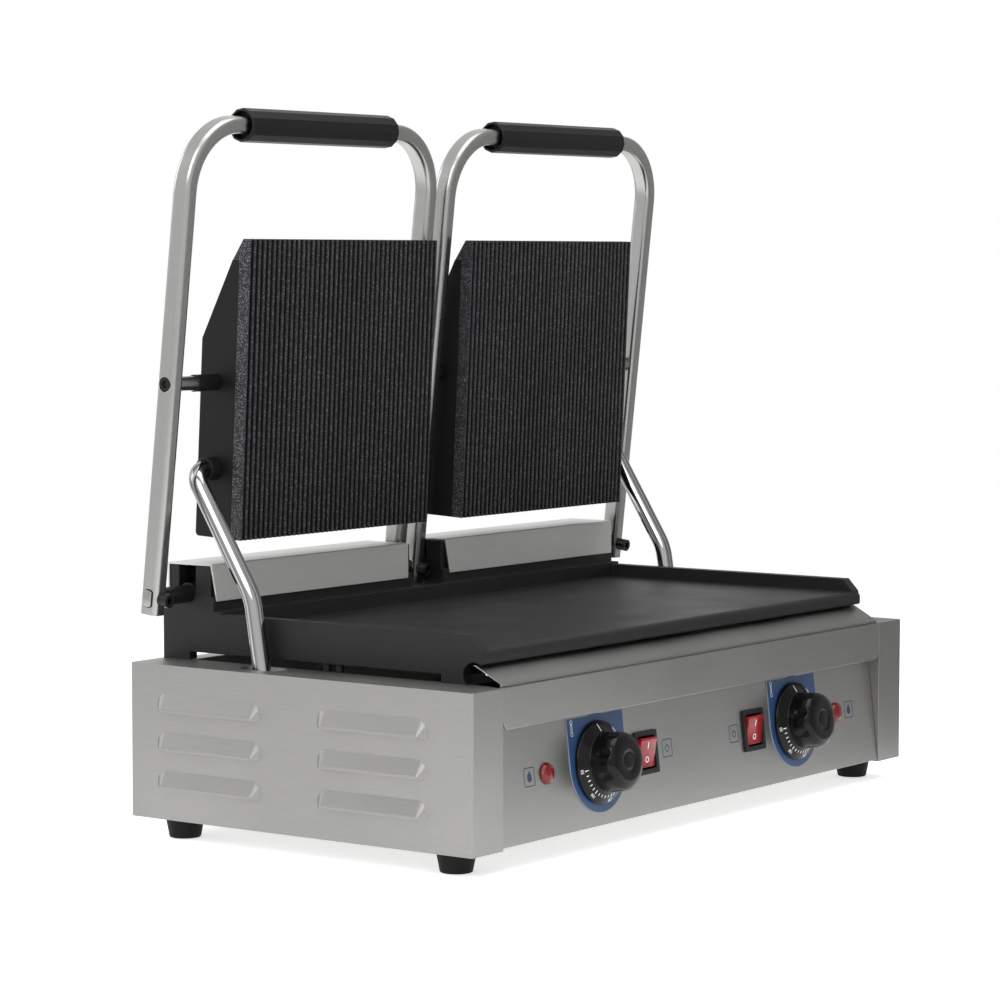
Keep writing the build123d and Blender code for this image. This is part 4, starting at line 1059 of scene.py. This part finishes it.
class GRILL_OT_fit_lamps(bpy.types.Operator):
    """Cut the two faceted pilot lenses on their collars"""

    bl_idname = "grill.fit_lamps"
    bl_label = "Fit Lamps"

    def execute(self, context):
        radius = context.scene.grill_sizes.lamp_radius
        profile = [*LAMP_BODY, *((radius * share, height) for share, height in LENS_STEPS)]
        lens = lathed("lens", profile, FACETS)
        rim = ring("rim", radius * 0.97, 0.0008, 1.2, Matrix.Translation((0, 0, 0.0007)))
        first = joined([lens, rim], "pilot_lenses")
        second = doubled(first, "second_lens")
        seated(first, panel_place(-LAMP_X))
        seated(second, panel_place(LAMP_X))
        lenses = joined([first, second], "pilot_lenses")
        finished(lenses, "Lamp Red", "base", ("pilot_lamps",))
        return {"FINISHED"}


# The axles' ends: a thin disc as radii and heights, and how far out its two flats are cut
AXLE_END = ((0.0059, 0), (0.0059, 0.0004), (0.0055, 0.0006))
FLAT_X = 0.0087
FLAT_SIZE = (0.01, 0.02, 0.01)


class GRILL_OT_cap_axles(bpy.types.Operator):
    """Lay a bright ground end on each axle, where it comes through the outer arm"""

    bl_idname = "grill.cap_axles"
    bl_label = "Cap Axles"

    def execute(self, context):
        hinge = Vector(joint_named["left_arm_hinge"]["pos_m"])
        swivel = Vector(joint_named["left_plate_swivel"]["pos_m"])
        rise = Vector((0, swivel.y - hinge.y, swivel.z - hinge.z)).normalized()
        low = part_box("left_hinge_axle")[0].x
        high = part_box("right_hinge_axle")[1].x
        for side, x, sign in (("left", low, -1), ("right", high, 1)):
            end = lathed(side + "_axle_end", AXLE_END, 64)
            for edge in (-1, 1):
                cut(end, block("flat", FLAT_SIZE, Matrix.Translation((edge * FLAT_X, 0, 0))))
            smoothed(end)
            outward = Vector((sign, 0, 0))
            turn = Matrix((rise.cross(outward), rise, outward)).transposed().to_4x4()
            seated(end, Matrix.Translation((x, hinge.y, hinge.z)) @ turn)
            finished(end, "Turned Steel", side + "_arm")
        return {"FINISHED"}


# The lamps of the studio: name, place, what each points at, side and power
STUDIO_LAMPS = (
    ("key_light", (-1.7, -0.6, 1.5), (0, 0, 0.2), 1.5, 20.0),
    ("top_light", (0.1, -0.3, 2.0), (0, 0, 0.1), 1.7, 22.0),
    ("rim_light", (-0.7, 1.7, 1.1), (0, 0, 0.3), 1.0, 8.0),
)

# The floor's drop below the feet, its glow, and the shares of its radius between which it fades
FLOOR_DROP = 0.0004
FLOOR_GLOW = 0.6
FADE_START = 0.45
FADE_END = 0.95

# The card that only reflections show: its place, turn and size
CARD_PLACE = (0.276, -0.338, 0.62)
CARD_TURN = (math.radians(90), 0, math.radians(55))
CARD_SIZE = (1.5, 1.24, 1.0)


class GRILL_OT_set_stage(bpy.types.Operator):
    """Make the floor, the lights, the sky and the camera"""

    bl_idname = "grill.set_stage"
    bl_label = "Set Stage"

    def execute(self, context):
        stage = context.scene.grill_stage
        self.lay_floor(stage)
        self.hang_lights()
        self.fill_sky(context.scene, stage)
        self.place_camera(context.scene, stage)
        return {"FINISHED"}

    def lay_floor(self, stage):
        """A round white floor that fades out to the sky."""
        floor = started(
            bpy.ops.mesh.primitive_circle_add, "floor",
            vertices=96, radius=stage.floor_radius, fill_type="NGON", location=(0, 0, -FLOOR_DROP),
        )
        finish = Finish("White Floor", (0.96, 0.96, 0.96), 0.9)
        tree = finish.tree
        finish.set("Specular IOR Level", 0.0)
        finish.set("Emission Color", (1.0, 1.0, 1.0, 1.0))
        finish.set("Emission Strength", FLOOR_GLOW)
        place = tree.nodes.new("ShaderNodeTexCoord")
        length = tree.nodes.new("ShaderNodeVectorMath")
        length.operation = "LENGTH"
        finish.join(place.outputs["Object"], length.inputs[0])
        radius = stage.floor_radius
        fade = finish.ranged(length.outputs["Value"], 1.0, 0.0, radius * FADE_START, radius * FADE_END)
        finish.join(fade, finish.shader.inputs["Alpha"])
        floor.data.materials.append(finish.material)

    def hang_lights(self):
        """The lamps, and a grey card for the front to mirror."""
        for name, place, aim, size, power in STUDIO_LAMPS:
            cleared()
            bpy.ops.object.light_add(type="AREA", location=place)
            lamp = bpy.context.object
            lamp.name = name
            lamp.data.size = size
            lamp.data.energy = power
            direction = Vector(aim) - Vector(place)
            lamp.rotation_euler = direction.to_track_quat("-Z", "Y").to_euler()
        card = started(
            bpy.ops.mesh.primitive_plane_add, "grey_card",
            size=1.0, location=CARD_PLACE, rotation=CARD_TURN,
        )
        card.scale = CARD_SIZE
        card.data.materials.append(Finish("Grey Card", (0.42, 0.42, 0.415), 1.0).material)
        card.visible_camera = False
        card.visible_diffuse = False
        card.visible_shadow = False

    def fill_sky(self, scene, stage):
        """An even sky that is white to the camera, to metal and through clear pieces."""
        world = bpy.data.worlds.new("Studio")
        scene.world = world
        world.use_nodes = True
        tree = world.node_tree
        tree.nodes.clear()
        ray = tree.nodes.new("ShaderNodeLightPath").outputs
        seen = computed(tree, "MAXIMUM", ray["Is Camera Ray"], ray["Is Glossy Ray"])
        seen = computed(tree, "MAXIMUM", seen, ray["Is Transmission Ray"])
        strength = tree.nodes.new("ShaderNodeMapRange")
        strength.inputs["To Min"].default_value = stage.ambient
        strength.inputs["To Max"].default_value = 1.0
        back = tree.nodes.new("ShaderNodeBackground")
        back.inputs["Color"].default_value = (1, 1, 1, 1)
        out = tree.nodes.new("ShaderNodeOutputWorld")
        link = tree.links.new
        link(seen, strength.inputs["Value"])
        link(strength.outputs["Result"], back.inputs["Strength"])
        link(back.outputs["Background"], out.inputs["Surface"])

    def place_camera(self, scene, stage):
        """The camera, from its place, heading, dip and roll."""
        cleared()
        bpy.ops.object.camera_add(location=stage.camera_place)
        camera = bpy.context.object
        camera.name = "camera"
        level = math.cos(stage.dip)
        east, north = math.sin(stage.heading), math.cos(stage.heading)
        ahead = Vector((east * level, north * level, -math.sin(stage.dip)))
        flat = Vector((north, -east, 0))
        high = flat.cross(ahead)
        right = flat * math.cos(stage.roll) + high * math.sin(stage.roll)
        up = high * math.cos(stage.roll) - flat * math.sin(stage.roll)
        camera.rotation_euler = Matrix((right, up, -ahead)).transposed().to_euler()
        camera.data.lens = stage.lens
        camera.data.sensor_width = 36
        camera.data.clip_start = 0.05
        camera.data.clip_end = 100
        scene.camera = camera
        scene.view_settings.view_transform = "Standard"


class GRILL_PT_sidebar(bpy.types.Panel):
    """The grill's operators, in the order in which they are used"""

    bl_label = "Double Contact Grill"
    bl_idname = "GRILL_PT_sidebar"
    bl_space_type = "VIEW_3D"
    bl_region_type = "UI"
    bl_category = "Grill"

    def draw(self, context):
        scene = context.scene
        for group in (scene.grill_sizes, scene.grill_finish, scene.grill_stage):
            box = self.layout.box()
            for key in group.__annotations__:
                box.prop(group, key)
        for step in STEPS:
            self.layout.operator(step.bl_idname)


STEPS = (
    GRILL_OT_mix_finishes,
    GRILL_OT_dress_frame,
    GRILL_OT_turn_knobs,
    GRILL_OT_mark_dials,
    GRILL_OT_print_panel,
    GRILL_OT_fit_rockers,
    GRILL_OT_fit_lamps,
    GRILL_OT_cap_axles,
    GRILL_OT_set_stage,
)
GROUPS = (GrillSizes, GrillFinish, GrillStage)


def register():
    """Register the classes and hang their settings on the scene."""
    for cls in (*GROUPS, *STEPS, GRILL_PT_sidebar):
        bpy.utils.register_class(cls)
    bpy.types.Scene.grill_sizes = bpy.props.PointerProperty(type=GrillSizes)
    bpy.types.Scene.grill_finish = bpy.props.PointerProperty(type=GrillFinish)
    bpy.types.Scene.grill_stage = bpy.props.PointerProperty(type=GrillStage)


def unregister():
    """Take the settings and the classes away again."""
    del bpy.types.Scene.grill_stage
    del bpy.types.Scene.grill_finish
    del bpy.types.Scene.grill_sizes
    for cls in reversed((*GROUPS, *STEPS, GRILL_PT_sidebar)):
        bpy.utils.unregister_class(cls)


def main():
    """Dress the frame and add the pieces."""
    register()
    for step in STEPS:
        group, name = step.bl_idname.split(".")
        getattr(getattr(bpy.ops, group), name)()


if __name__ == "__main__":
    main()
